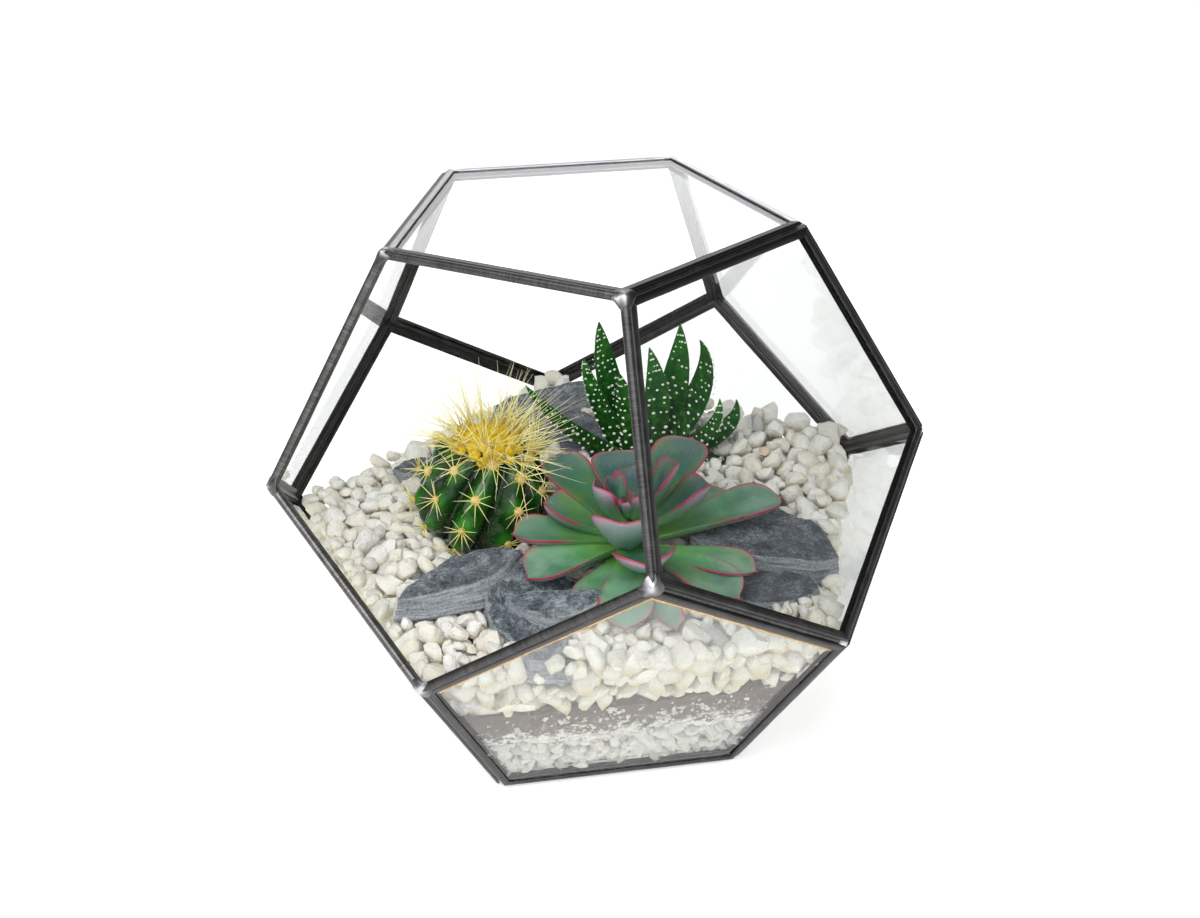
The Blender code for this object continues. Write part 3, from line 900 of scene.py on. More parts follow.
def slate_finish():
    """Slate: streaked and flecked where it split, paler and layered on its broken sides, with rust."""
    finish = Finish("split_slate")
    grain = finish.own("grain", "Vector")
    side = finish.own("side")
    layers = finish.noise(finish.stretched(grain, (110, 110, 2300)), 1.0, 5.0, 0.7)
    clouds = finish.noise(grain, 170.0, 5.0, 0.65)
    streaks = finish.noise(finish.stretched(grain, (420, 1000, 1000)), 1.0, 5.0, 0.72)
    speckle = finish.noise(grain, 1300.0, 4.0, 0.8)
    shades = finish.noise(grain, 8.0, 1.0)
    rust = finish.noise(grain, 190.0, 2.0).between(0.735, 0.77)
    crack = streaks.between(0.470, 0.485) * (1 - streaks.between(0.485, 0.500))
    split = finish.ramp(
        clouds * 0.40 + streaks * 0.25 + speckle * 0.35,
        (0.415, (0.030, 0.038, 0.048)), (0.470, (0.090, 0.108, 0.130)),
        (0.520, (0.165, 0.195, 0.222)), (0.590, (0.38, 0.41, 0.43)),
    )
    edge = finish.ramp(
        layers * 0.6 + speckle * 0.4,
        (0.38, (0.120, 0.138, 0.160)), (0.48, (0.26, 0.29, 0.315)), (0.60, (0.46, 0.48, 0.49)),
    )
    body = finish.coats(
        split,
        (shades.between(0.45, 0.60) * 0.4, (0.075, 0.070, 0.088)),
        (crack * 0.35, (0.020, 0.026, 0.034)),
        (side.between(0.05, 0.32), edge),
        (speckle.between(0.58, 0.70) * 0.30, (0.50, 0.53, 0.55)),
        ((1 - speckle).between(0.58, 0.70) * 0.35, (0.022, 0.028, 0.038)),
        (rust * 0.75, (0.36, 0.17, 0.035)),
    )
    finish.feed(Base_Color=body, Roughness=0.48 + 0.3 * clouds)
    finish.bump(streaks * 0.25 + speckle * 0.7 + clouds * 0.8 + layers * 0.6, 0.0009, 0.7)
    return finish


def stacked_slab(thickness, corners, seed):
    """The outline as a stack of thin leaves, each with its edge a little in or out of the next."""
    middle = sum((Vector(corner[:2]) for corner in corners), Vector((0, 0))) / len(corners)
    slab = bmesh.new()
    for layer in range(SLATE_LEAVES):
        share = layer / (SLATE_LEAVES - 1)
        ring = []
        for k, (x, y, height, spread) in enumerate(corners):
            out = (Vector((x, y)) - middle).normalized()
            ragged = noise.noise(Vector((k * 1.7, layer * 2.3, 9 * seed)))
            reach = spread * share + 0.9 * ragged * (0.4 + share)
            corner = (x + out.x * reach, y + out.y * reach, height - thickness * share)
            ring.append(slab.verts.new([part / 1000 for part in corner]))
        leaf = bmesh.ops.contextual_create(slab, geom=ring)["faces"]
        grown = bmesh.ops.extrude_face_region(slab, geom=leaf)["geom"]
        down = [vert for vert in grown if isinstance(vert, bmesh.types.BMVert)]
        depth = thickness / 1000 / (SLATE_LEAVES - 1) * LEAF_OVERLAP
        bmesh.ops.translate(slab, verts=down, vec=(0, 0, -depth))
    bmesh.ops.recalc_face_normals(slab, faces=slab.faces)
    bmesh.ops.triangulate(slab, faces=slab.faces)
    return slab


def weathered(slab, roughness, corners, seed):
    """The stack joined into one fine skin, then terraced on its faces and ridged along its sides."""
    shape = bpy.data.meshes.new("slab")
    slab.to_mesh(shape)
    slab.free()
    block = bpy.data.objects.new("slab", shape)
    bpy.context.scene.collection.objects.link(block)
    remesh = block.modifiers.new("remesh", "REMESH")
    remesh.mode = "VOXEL"
    remesh.voxel_size = SLATE_VOXEL
    fine = bmesh.new()
    fine.from_mesh(block.evaluated_get(bpy.context.evaluated_depsgraph_get()).data)
    bpy.data.objects.remove(block)
    spots = np.array([corner[:3] for corner in corners]) / 1000
    centre = spots.mean(axis=0)
    axes = np.linalg.svd(spots - centre, full_matrices=False)[2]
    length, width = Vector(axes[0]), Vector(axes[1])
    up = length.cross(width)
    if up.z < 0:
        up, width = -up, -width
    offset = Vector((13 * seed, 5 * seed, 0))
    grain = fine.verts.layers.float_vector.new("grain")
    side = fine.verts.layers.float.new("side")
    bmesh.ops.smooth_vert(
        fine, verts=fine.verts, factor=0.5, use_axis_x=True, use_axis_y=True, use_axis_z=True,
    )
    fine.normal_update()
    for vert in fine.verts:
        spot = vert.co - Vector(centre)
        local = Vector((spot.dot(length), spot.dot(width), spot.dot(up)))
        flatness = abs(vert.normal.dot(up))
        vert[grain] = local + offset * 0.01
        vert[side] = 1 - flatness
        ledge = noise.noise(Vector((local.x * 70, local.y * 70, local.z * 1100)) + offset)
        scale = noise.noise(Vector((local.x * 55, local.y * 120, 0)) + offset)
        scale += 0.5 * noise.noise(Vector((local.x * 170, local.y * 260, 3)) + offset)
        terrace = math.floor(scale * SLATE_STEPS) / SLATE_STEPS * 0.9 + scale * 0.1
        fleck = noise.noise(vert.co * 800)
        vert.co += vert.normal * roughness * (1 - flatness) * (SLATE_LEDGE * ledge + SIDE_FLECK * fleck)
        vert.co += up * flatness * roughness * (SLATE_TERRACE * terrace + FACE_FLECK * fleck)
    return fine


slate_rock = slate_finish()
slate_trees = []
for seed, (name, thickness, roughness, corners) in enumerate(SLATE_CHIPS):
    chip = weathered(stacked_slab(thickness, corners, seed), roughness, corners, seed)
    slate_trees.append(BVHTree.FromBMesh(chip))
    piece = show(f"split_{name}", chip, slate_rock, SLATE_CREASE)
    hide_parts(name)


# Cactus. A young ribbed globe, leaning a little, dark glossy green. Each rib carries woolly buttons
# with a star of stiff straw-coloured spines, and the crown is a dense tuft of yellow wool and spines.

CACTUS_LEAN = bearing(math.radians(17.4), math.radians(68))
CACTUS_CROWN = Vector((0.17, -0.10, 0.98)).normalized()
cactus_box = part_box("cactus_body")
cactus_middle = (Vector(cactus_box[0]) + Vector(cactus_box[1])) / 2
cactus_reach = (Vector(cactus_box[1]) - Vector(cactus_box[0])) / 2
# Each rib: its bearing about the lean, and how far its first button lies from the lean's pole, in degrees.
CACTUS_RIBS = (
    (-134, 47), (-109, 27), (-76, 38), (-35, 41), (-5, 28), (24, 24),
    (57, 40), (90, 26), (122, 42), (153, 28), (186, 40),
)
CACTUS_FURROW = 0.0042
CACTUS_SWELL = 0.0014
CACTUS_BUMP = 0.0015
CACTUS_BARREL = 0.30
BUTTON_SPACING = 32
BUTTON_ROWS = 4
BUTTON_LIFT = 0.0005
BUTTON_SIZE = 0.0021
BUTTON_TAPER = 0.00042
LOWEST_BUTTON = 140
CROWN_BUTTONS = 30
CROWN_SPREAD = 30
CROWN_SIZE = 0.0030
CROWN_TAPER = 0.0013
SPINE_SIDES = 4
SPINE_THICKNESS = 0.00024
TOP_SPINES = (0.009, 0.017)
SIDE_SPINES = (0.0060, 0.0090)
CROWN_SPINES = (0.011, 0.028)
GOLDEN_ANGLE = 2.39996


def cactus_skin():
    finish = Finish("cactus_skin", Specular_IOR_Level=0.5)
    place = finish.place()
    broad = finish.noise(place, 90.0)
    fine = finish.noise(place, 1300.0, 2.0)
    ridge = finish.own("ridge")
    # Painted shade: the furrows are painted nearly black and the ridges and buttons a brighter green, as
    # light and shade fall on them.
    body = finish.ramp(
        broad * 0.4 + ridge * 0.6,
        (0.20, (0.0007, 0.008, 0.0007)), (0.52, (0.004, 0.055, 0.002)), (0.90, (0.034, 0.260, 0.007)),
    )
    body = finish.mix(fine.between(0.55, 0.75) * 0.25, body, (0.06, 0.28, 0.02))
    finish.feed(Base_Color=body, Roughness=0.14 + 0.2 * fine)
    finish.bump(fine + broad, 0.0002, 0.25)
    return finish


def rib_place(angle):
    """How near a bearing is to a rib: 1 on its crest and 0 in the furrow, with the rib's number."""
    turns = sorted((math.radians(rib), k) for k, (rib, _) in enumerate(CACTUS_RIBS))
    turns = [(turns[-1][0] - math.tau, turns[-1][1])] + turns + [(turns[0][0] + math.tau, turns[0][1])]
    while angle < turns[0][0]:
        angle += math.tau
    while angle > turns[-1][0]:
        angle -= math.tau
    for (start, first), (end, second) in zip(turns, turns[1:]):
        if start <= angle <= end:
            share = (angle - start) / (end - start)
            return abs(math.cos(math.pi * share)), first if share < 0.5 else second
    return 0.0, 0


def cactus_frame():
    """Turns directions of the leaning frame, whose Z is the lean, into the vessel's."""
    across = Vector((0, 1, 0)).cross(CACTUS_LEAN).normalized()
    return Matrix((across, CACTUS_LEAN.cross(across), CACTUS_LEAN)).transposed()


def cactus_point(way, lift):
    """A point on the globe's skin, and how near it is to a button or a rib's crest, from 0 to 1, which sets
    the painted light and shade on the skin.

    The way is a direction from the globe's middle, in the leaning frame.
    """
    polar = math.degrees(math.acos(max(-1.0, min(1.0, way.z))))
    near, rib = rib_place(math.atan2(way.y, way.x))
    first = CACTUS_RIBS[rib][1]
    phase = ((polar - first + BUTTON_SPACING / 2) % BUTTON_SPACING) / BUTTON_SPACING - 0.5
    swell = math.exp(-((phase * 2.9) ** 2)) * near
    spread = math.sin(math.radians(polar))
    sunk = spread * (CACTUS_FURROW * (1 - near ** 0.8) + CACTUS_BUMP * (1 - swell))
    fuller = 1 + CACTUS_BARREL * max(0.0, -way.z)
    outward = cactus_frame() @ Vector((way.x * fuller, way.y * fuller, way.z))
    size = Vector([outward[k] * (cactus_reach[k] - sunk + lift) for k in range(3)])
    return cactus_middle + size, near * (0.45 + 0.55 * swell)


body = bmesh.new()
bmesh.ops.create_uvsphere(body, u_segments=132, v_segments=54, radius=1)
# How near each point is to a rib's crest or a button, for the painted light and shade.
ridge = body.verts.layers.float.new("ridge")
for vert in body.verts:
    vert.co, vert[ridge] = cactus_point(vert.co.normalized(), CACTUS_SWELL)
plant_trees = [BVHTree.FromBMesh(body)]
globe = show("cactus_globe", body, cactus_skin())


def straw():
    finish = Finish("straw_spine", Roughness=0.5)
    tones = ((0.05, (0.95, 0.79, 0.16)), (0.45, (0.97, 0.89, 0.34)), (1.0, (0.97, 0.95, 0.66)))
    finish.feed(Base_Color=finish.ramp(finish.own("along"), *tones))
    return finish


def wool_finish(name, dark, light):
    finish = Finish(name, Roughness=0.95)
    fuzz = finish.noise(finish.place(), 2600.0, 4.0, 0.7)
    finish.feed(Base_Color=finish.ramp(fuzz, (0.35, dark), (0.65, light)))
    finish.bump(fuzz, 0.0006, 0.9)
    return finish


def scatter(amount):
    """A random offset, up to the amount along each axis."""
    return Vector([rng.uniform(-amount, amount) for _ in range(3)])


def add_spine(root, way, length, thickness, bend):
    """A stiff needle, thickest at its foot."""
    bm = needles.small()
    along = bm.verts.layers.float["along"]
    verts = bmesh.ops.create_cone(
        bm, segments=SPINE_SIDES, radius1=thickness, radius2=thickness * 0.15, depth=length,
        cap_ends=True, cap_tris=True, matrix=placed_along(way, root + way * length / 2),
    )["verts"]
    for vert in verts:
        reach = (vert.co - root).dot(way) / length
        vert[along] = reach
        vert.co += bend * reach * length


def add_wool(heap, centre, way, radius):
    """A pad of short wool, flattened towards the skin."""
    bm = heap.small()
    verts = bmesh.ops.create_icosphere(bm, subdivisions=3, radius=1)["verts"]
    turn = way.to_track_quat("Z", "Y").to_matrix()
    start = Vector([rng.uniform(0, 50) for _ in range(3)])
    for vert in verts:
        fuzz = 1 + 0.35 * noise.noise(vert.co * 3.5 + start)
        vert.co = centre + turn @ Vector((vert.co.x, vert.co.y, vert.co.z * 0.75)) * radius * fuzz


def add_star(centre, outward, spines, lean, length):
    """A ring of radial spines and one central one."""
    side = outward.orthogonal().normalized()
    for k in range(spines):
        spin = Matrix.Rotation(math.tau * (k + rng.uniform(-0.3, 0.3)) / spines, 3, outward)
        way = (spin @ side + outward * rng.uniform(*lean)).normalized()
        bend = scatter(0.05)
        add_spine(centre, way, rng.uniform(*length), SPINE_THICKNESS, bend)
    way = (outward + scatter(0.4)).normalized()
    add_spine(centre, way, rng.uniform(*length), SPINE_THICKNESS, Vector())


needles = Heap("along")
wool = Heap()
crown = Heap()
rng = random.Random(21)
for rib, (turn, first) in enumerate(CACTUS_RIBS):
    for row in range(BUTTON_ROWS):
        polar = math.radians(first + row * BUTTON_SPACING + rng.uniform(-2, 2))
        if polar > math.radians(LOWEST_BUTTON):
            continue
        way = bearing(math.radians(turn), math.pi / 2 - polar)
        centre, _ = cactus_point(way, CACTUS_SWELL + BUTTON_LIFT)
        outward = (centre - cactus_middle).normalized()
        add_wool(wool, centre, outward, BUTTON_SIZE - BUTTON_TAPER * row)
        if row == 0:
            add_star(centre, outward, 11, (0.35, 0.9), TOP_SPINES)
        else:
            add_star(centre, outward, 9, (0.25, 0.5), SIDE_SPINES)
side = CACTUS_CROWN.orthogonal().normalized()
for k in range(CROWN_BUTTONS):
    share = math.sqrt((k + 0.5) / CROWN_BUTTONS)
    spin = Matrix.Rotation(k * GOLDEN_ANGLE, 3, CACTUS_CROWN)
    outward = Matrix.Rotation(math.radians(CROWN_SPREAD) * share, 3, spin @ side) @ CACTUS_CROWN
    centre = cactus_middle + Vector([outward[n] * (cactus_reach[n] + CACTUS_SWELL) for n in range(3)])
    add_wool(crown, centre, outward, CROWN_SIZE - CROWN_TAPER * share)
    away = (outward - CACTUS_CROWN * outward.dot(CACTUS_CROWN)).normalized()
    for _ in range(4 if share < 0.6 else 8):
        swing = Vector([rng.gauss(0, 0.33) for _ in range(3)])
        way = (outward * rng.uniform(0.5, 1.0) + away * rng.uniform(0.2, 1.5) * share + swing).normalized()
        bend = scatter(0.05)
        add_spine(centre, way, rng.uniform(*CROWN_SPINES), 0.85 * SPINE_THICKNESS, bend)
straw_wool = wool_finish("straw_wool", (0.74, 0.48, 0.10), (0.95, 0.82, 0.40))
yellow_wool = wool_finish("yellow_wool", (0.84, 0.52, 0.006), (0.96, 0.76, 0.035))
cactus_parts = [
    globe,
    show("cactus_spines", needles.gather(), straw()),
    show("cactus_buttons", wool.gather(), straw_wool),
    show("cactus_crown", crown.gather(), yellow_wool),
]
for piece in cactus_parts:
    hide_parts("cactus_body")


# Haworthia. A rosette of stiff pointed leaves, deep green, flat above and keeled below. White pearls
# stand in bands across both faces, and along the margins they sharpen into small teeth.

HAWORTHIA_MIDDLE = Vector((-0.0016, 0.0435, 0.0))
HAWORTHIA_LEVEL = 0.0715
LEAF_SIDES = 20
LEAF_ROOT = 0.0045
PEARL_SPACING = 0.0026
PEARL_SIZES = (0.00045, 0.00080)
TOOTH_SIZE = 0.00044
STEM_ROUNDING = 0.0006
# A leaf's outline, as shares of its length, width and thickness from foot to tip.
LANCE = (
    (0.00, 0.70, 0.60), (0.08, 0.94, 0.9), (0.20, 1.03, 1.0), (0.35, 1.04, 0.95), (0.50, 0.97, 0.85),
    (0.65, 0.81, 0.70), (0.78, 0.58, 0.52), (0.89, 0.33, 0.34), (0.96, 0.14, 0.18), (1.00, 0.02, 0.04),
)
# Each leaf: its tip and a point half way along it, in millimetres from the rosette's foot on the z = 0
# plane, its width, its twist in degrees, and the CAD node that it stands for.
HAWORTHIA_LEAVES = (
    ((-15.0, -3.2, 125.4), (-12.7, -2.2, 103.4), 11.5, -35, "haworthia_leaf_08"),
    ((-35.2, -22.6, 104.4), (-22.5, -14.7, 86.4), 11.5, 35, "haworthia_leaf_01"),
    ((-17.3, -10.7, 113.3), (-14.0, -7.6, 96.0), 12.5, 30, "haworthia_leaf_09"),
    ((-2.7, -11.5, 110.8), (-2.2, -7.0, 92.0), 11.0, 20, "haworthia_leaf_02"),
    ((4.0, -1.3, 118.2), (6.5, -0.5, 97.0), 10.5, -25, "haworthia_leaf_03"),
    ((9.7, 13.1, 122.9), (9.3, 11.0, 99.0), 12.0, 35, "haworthia_leaf_07"),
    ((18.8, 9.7, 119.5), (20.0, 10.6, 99.0), 11.5, 40, "haworthia_leaf_05"),
    ((27.4, 9.4, 98.0), (23.2, 7.6, 83.0), 9.5, -40, "haworthia_leaf_04"),
    ((29.1, 21.6, 92.6), (25.6, 16.5, 80.0), 8.5, 35, "haworthia_leaf_06"),
    ((30.5, 6.5, 75.5), (23.5, 5.2, 73.5), 8.0, -30, "haworthia_leaf_04"),
)


def spine_of(foot, bend, tip):
    """A leaf's middle line, from foot to tip and drawn towards the bend, with its level heading.

    The line is a function that gives the point and the direction at a share of the length.
    """
    flat = Vector((tip.x - foot.x, tip.y - foot.y, 0)).normalized()

    def at(share):
        spot = foot * (1 - share) ** 2 + bend * 2 * share * (1 - share) + tip * share ** 2
        way = (bend - foot) * (1 - share) + (tip - bend) * share
        return spot, way.normalized()

    return at, flat


def sides_of(forward, flat, twist):
    """Across and over a leaf that runs forward, turned by the twist about its own run."""
    level = Vector((-flat.y, flat.x, 0))
    side = (level - forward * level.dot(forward)).normalized()
    side = side * math.cos(twist) + forward.cross(side) * math.sin(twist)
    return side, forward.cross(side)


def leaf_mesh(outline, at, flat, width, above, below, cup, keel, twist=0.0):
    """A closed leaf: sections flatter above and more or less keeled below, bridged from foot to tip."""
    bm = bmesh.new()
    along = bm.verts.layers.float.new("along")
    rim = bm.verts.layers.float.new("rim")
    under = bm.verts.layers.float.new("under")
    loops = []
    for share, wide, thick in outline:
        spot, forward = at(share)
        side, over = sides_of(forward, flat, twist)
        ring = bmesh.ops.create_circle(bm, segments=LEAF_SIDES, radius=1)["verts"]
        half = width / 2 * wide
        for vert in ring:
            u, v = vert.co.x, vert.co.y
            drop = v * (1 - keel) - (1 - abs(u)) * keel
            lift = (v * above if v > 0 else drop * below) * thick + cup * wide * u * u
            vert[along] = share
            vert[rim] = half * (1 - abs(u))
            vert[under] = 1.0 if v < -0.05 else 0.0
            vert.co = spot + side * (u * half) + over * lift
        loops.append(list({edge for vert in ring for edge in vert.link_edges}))
    for first, second in zip(loops, loops[1:]):
        bmesh.ops.bridge_loops(bm, edges=first + second)
    bmesh.ops.holes_fill(bm, edges=[edge for edge in bm.edges if edge.is_boundary], sides=LEAF_SIDES)
    bmesh.ops.recalc_face_normals(bm, faces=bm.faces)
    return bm


def haworthia_skin():
    finish = Finish("haworthia_skin", Specular_IOR_Level=0.22)
    place = finish.place()
    along = finish.own("along")
    broad = finish.noise(place, 240.0)
    body = finish.ramp(
        broad * 0.6 + along * 0.4,
        (0.20, (0.002, 0.024, 0.002)), (0.50, (0.006, 0.070, 0.006)), (0.85, (0.025, 0.175, 0.014)),
    )
    patches = finish.noise(place, 420.0)
    body = finish.mix(patches.between(0.50, 0.66) * 0.45, body, (0.050, 0.230, 0.018))
    finish.feed(Base_Color=body, Roughness=0.38 + 0.2 * broad)
    finish.bump(patches + broad, 0.0004, 0.5)
    return finish


def pearl_finish():
    finish = Finish("leaf_pearl", Roughness=0.5)
    cloud = finish.noise(finish.place(), 500.0, 2.0)
    finish.feed(Base_Color=finish.ramp(cloud, (0.30, (0.66, 0.76, 0.60)), (0.60, (0.93, 0.95, 0.88))))
    return finish


def add_pearl(centre, normal, forward, size):
    """A raised oval wart, longer across the leaf than along it."""
    side = normal.cross(forward).normalized()
    turn = Matrix((side * size, forward * size * 0.75, normal * size * 0.62)).transposed().to_4x4()
    place = Matrix.Translation(centre) @ turn
    bmesh.ops.create_icosphere(pearls.small(), subdivisions=2, radius=1, matrix=place)


def stud(skin, at, flat, length, width, twist):
    """Sets pearls in rows across both faces of a leaf, closer on its back, and teeth along its edges."""
    rows = int(length / PEARL_SPACING)
    for row in range(2, rows):
        share = (row + pearl_rng.uniform(-0.2, 0.2)) / rows
        if share > 0.95:
            continue
        spot, forward = at(share)
        side, over = sides_of(forward, flat, twist)
        wide = np.interp(share, [step[0] for step in LANCE], [step[1] for step in LANCE]) * width / 2
        for facing in (1, -1):
            across = 4 if row % 2 else 3
            for column in range(across):
                u = ((column + 0.5) / across * 2 - 1) * 0.86 + pearl_rng.uniform(-0.10, 0.10)
                if pearl_rng.random() < 0.15 + 0.35 * share * (facing > 0):
                    continue
                start = spot + side * (u * wide) + over * facing * 0.02
                hit = skin.ray_cast(start, -over * facing)
                if hit[0]:
                    size = pearl_rng.uniform(*PEARL_SIZES) * (1.20 - 0.55 * share)
                    add_pearl(hit[0], hit[1], forward, size)
        for edge in (1, -1):
            centre = spot + side * (edge * wide)
            add_pearl(centre, side * edge, forward, TOOTH_SIZE * (1.2 - 0.6 * share))


pearls = Heap()
pearl_rng = random.Random(31)
green = haworthia_skin()
for k, (tip, half_way, width, twist, node) in enumerate(HAWORTHIA_LEAVES):
    tip = HAWORTHIA_MIDDLE + Vector(tip) / 1000
    half_way = HAWORTHIA_MIDDLE + Vector(half_way) / 1000
    width /= 1000
    twist = math.radians(twist)
    away = Vector((tip.x - HAWORTHIA_MIDDLE.x, tip.y - HAWORTHIA_MIDDLE.y, 0)).normalized()
    foot = HAWORTHIA_MIDDLE + away * LEAF_ROOT + Vector((0, 0, HAWORTHIA_LEVEL))
    at, flat = spine_of(foot, half_way * 2 - (foot + tip) / 2, tip)
    bm = leaf_mesh(LANCE, at, flat, width, above=0.0010, below=0.0040, cup=0.0012, keel=0.8, twist=twist)
    skin = BVHTree.FromBMesh(bm)
    plant_trees.append(skin)
    stud(skin, at, flat, (tip - foot).length, width, twist)
    leaf = show(f"haworthia_blade_{k + 1:02d}", bm, green, subdivide=1)
    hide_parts(node)
warts = show("haworthia_pearls", pearls.gather(), pearl_finish())
stem = bmesh.new()
stem.from_mesh(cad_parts["haworthia_core"].data)
bmesh.ops.remove_doubles(stem, verts=stem.verts, dist=1e-6)
bmesh.ops.bevel(
    stem, geom=stem.edges, offset=STEM_ROUNDING, affect="EDGES", segments=2, profile=0.5, material=-1,
)
stem_piece = show("haworthia_stem", stem, green)
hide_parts("haworthia_core")


# Echeveria. A rosette of thick spoon-shaped leaves, blue-green under a waxy bloom, each cupped, edged
# in crimson and drawn out to a fine point. The young leaves stand close round the heart.

ECHEVERIA_MIDDLE = Vector((0.0255, -0.0222, 0.0))
ECHEVERIA_LEVEL = 0.078
LEAF_FOOT = 0.0015
FULL_WIDTH = 18
OUTER_LEAVES = 6
SPOON = (
    (0.00, 0.36, 0.75), (0.10, 0.37, 0.85), (0.22, 0.43, 0.95), (0.34, 0.54, 1.0), (0.46, 0.69, 1.0),
    (0.57, 0.84, 0.95), (0.67, 0.95, 0.88), (0.76, 1.00, 0.80), (0.84, 0.97, 0.68), (0.905, 0.84, 0.55),
    (0.950, 0.63, 0.42), (0.975, 0.40, 0.32), (0.986, 0.22, 0.26), (1.00, 0.07, 0.14), (1.03, 0.012, 0.05),
)
# Each leaf: its tip as bearing, reach and rise over the rosette's level, its foot's rise, the climb at
# the foot, the share of its length that it runs so, its width and cup, and the CAD node. Millimetres
# and degrees. The outermost leaves come first.
ECHEVERIA_LEAVES = (
    (-45, 44, -5.7, -3.0, -2, 0.5, 10, 2.0, "echeveria_leaf_01"),
    (-66, 42, -5.1, -1.5, 3, 0.5, 18, 2.5, "echeveria_leaf_02"),
    (-88, 36, -4.0, -2.5, 0, 0.5, 14, 2.0, "echeveria_leaf_02"),
    (-134, 33, -0.8, -2.0, 2, 0.5, 16, 2.0, "echeveria_leaf_03"),
    (2, 44, 0.3, -1.5, 2, 0.5, 17, 2.5, "echeveria_leaf_04"),
    (65, 44, 3.6, -1.0, 4, 0.5, 16, 2.5, "echeveria_leaf_05"),
    (-15, 45, -2.1, 0.0, 6, 0.5, 19, 2.5, "echeveria_leaf_06"),
    (-119, 39, 0.8, 0.5, 4, 0.6, 19, 4.0, "echeveria_leaf_07"),
    (45, 54, 6.9, 0.5, 7, 0.6, 20, 3.5, "echeveria_leaf_08"),
    (-148, 38, 6.0, 1.5, 8, 0.6, 18, 3.0, "echeveria_leaf_09"),
    (-162, 28, 13.1, 2.5, 12, 0.65, 17, 4.5, "echeveria_leaf_13"),
    (162, 37, 18.5, 3.5, 20, 0.6, 19, 3.0, "echeveria_leaf_10"),
    (-54, 33, 12.0, 4.0, 2, 0.7, 21, 5.0, "echeveria_leaf_11"),
    (84, 41, 20.5, 3.5, 20, 0.6, 21, 3.0, "echeveria_leaf_12"),
    (124, 29, 19.1, 5.0, 28, 0.6, 20, 3.0, "echeveria_leaf_14"),
    (27, 26, 21.6, 5.0, 26, 0.65, 16, 5.0, "echeveria_leaf_15"),
    (-70, 21, 20.0, 3.0, 16, 0.7, 22.5, 6.5, "echeveria_heart"),
    (-129, 12.3, 24.5, 8.0, 50, 0.6, 13, 3.5, "echeveria_heart"),
    (35, 16, 29.0, 8.0, 52, 0.6, 13, 3.5, "echeveria_heart"),
    (105, 9, 24.0, 9.0, 60, 0.6, 13, 3.0, "echeveria_heart"),
    (170, 9, 22.0, 10.0, 60, 0.6, 10, 3.0, "echeveria_heart"),
    (-20, 8, 21.0, 10.0, 60, 0.6, 9, 2.5, "echeveria_heart"),
    (-85, 6, 18.5, 11.0, 60, 0.6, 8, 2.2, "echeveria_heart"),
    (60, 4, 18.0, 11.0, 70, 0.6, 6.5, 1.8, "echeveria_heart"),
    (-160, 3, 17.0, 11.0, 76, 0.6, 5, 1.5, "echeveria_heart"),
)


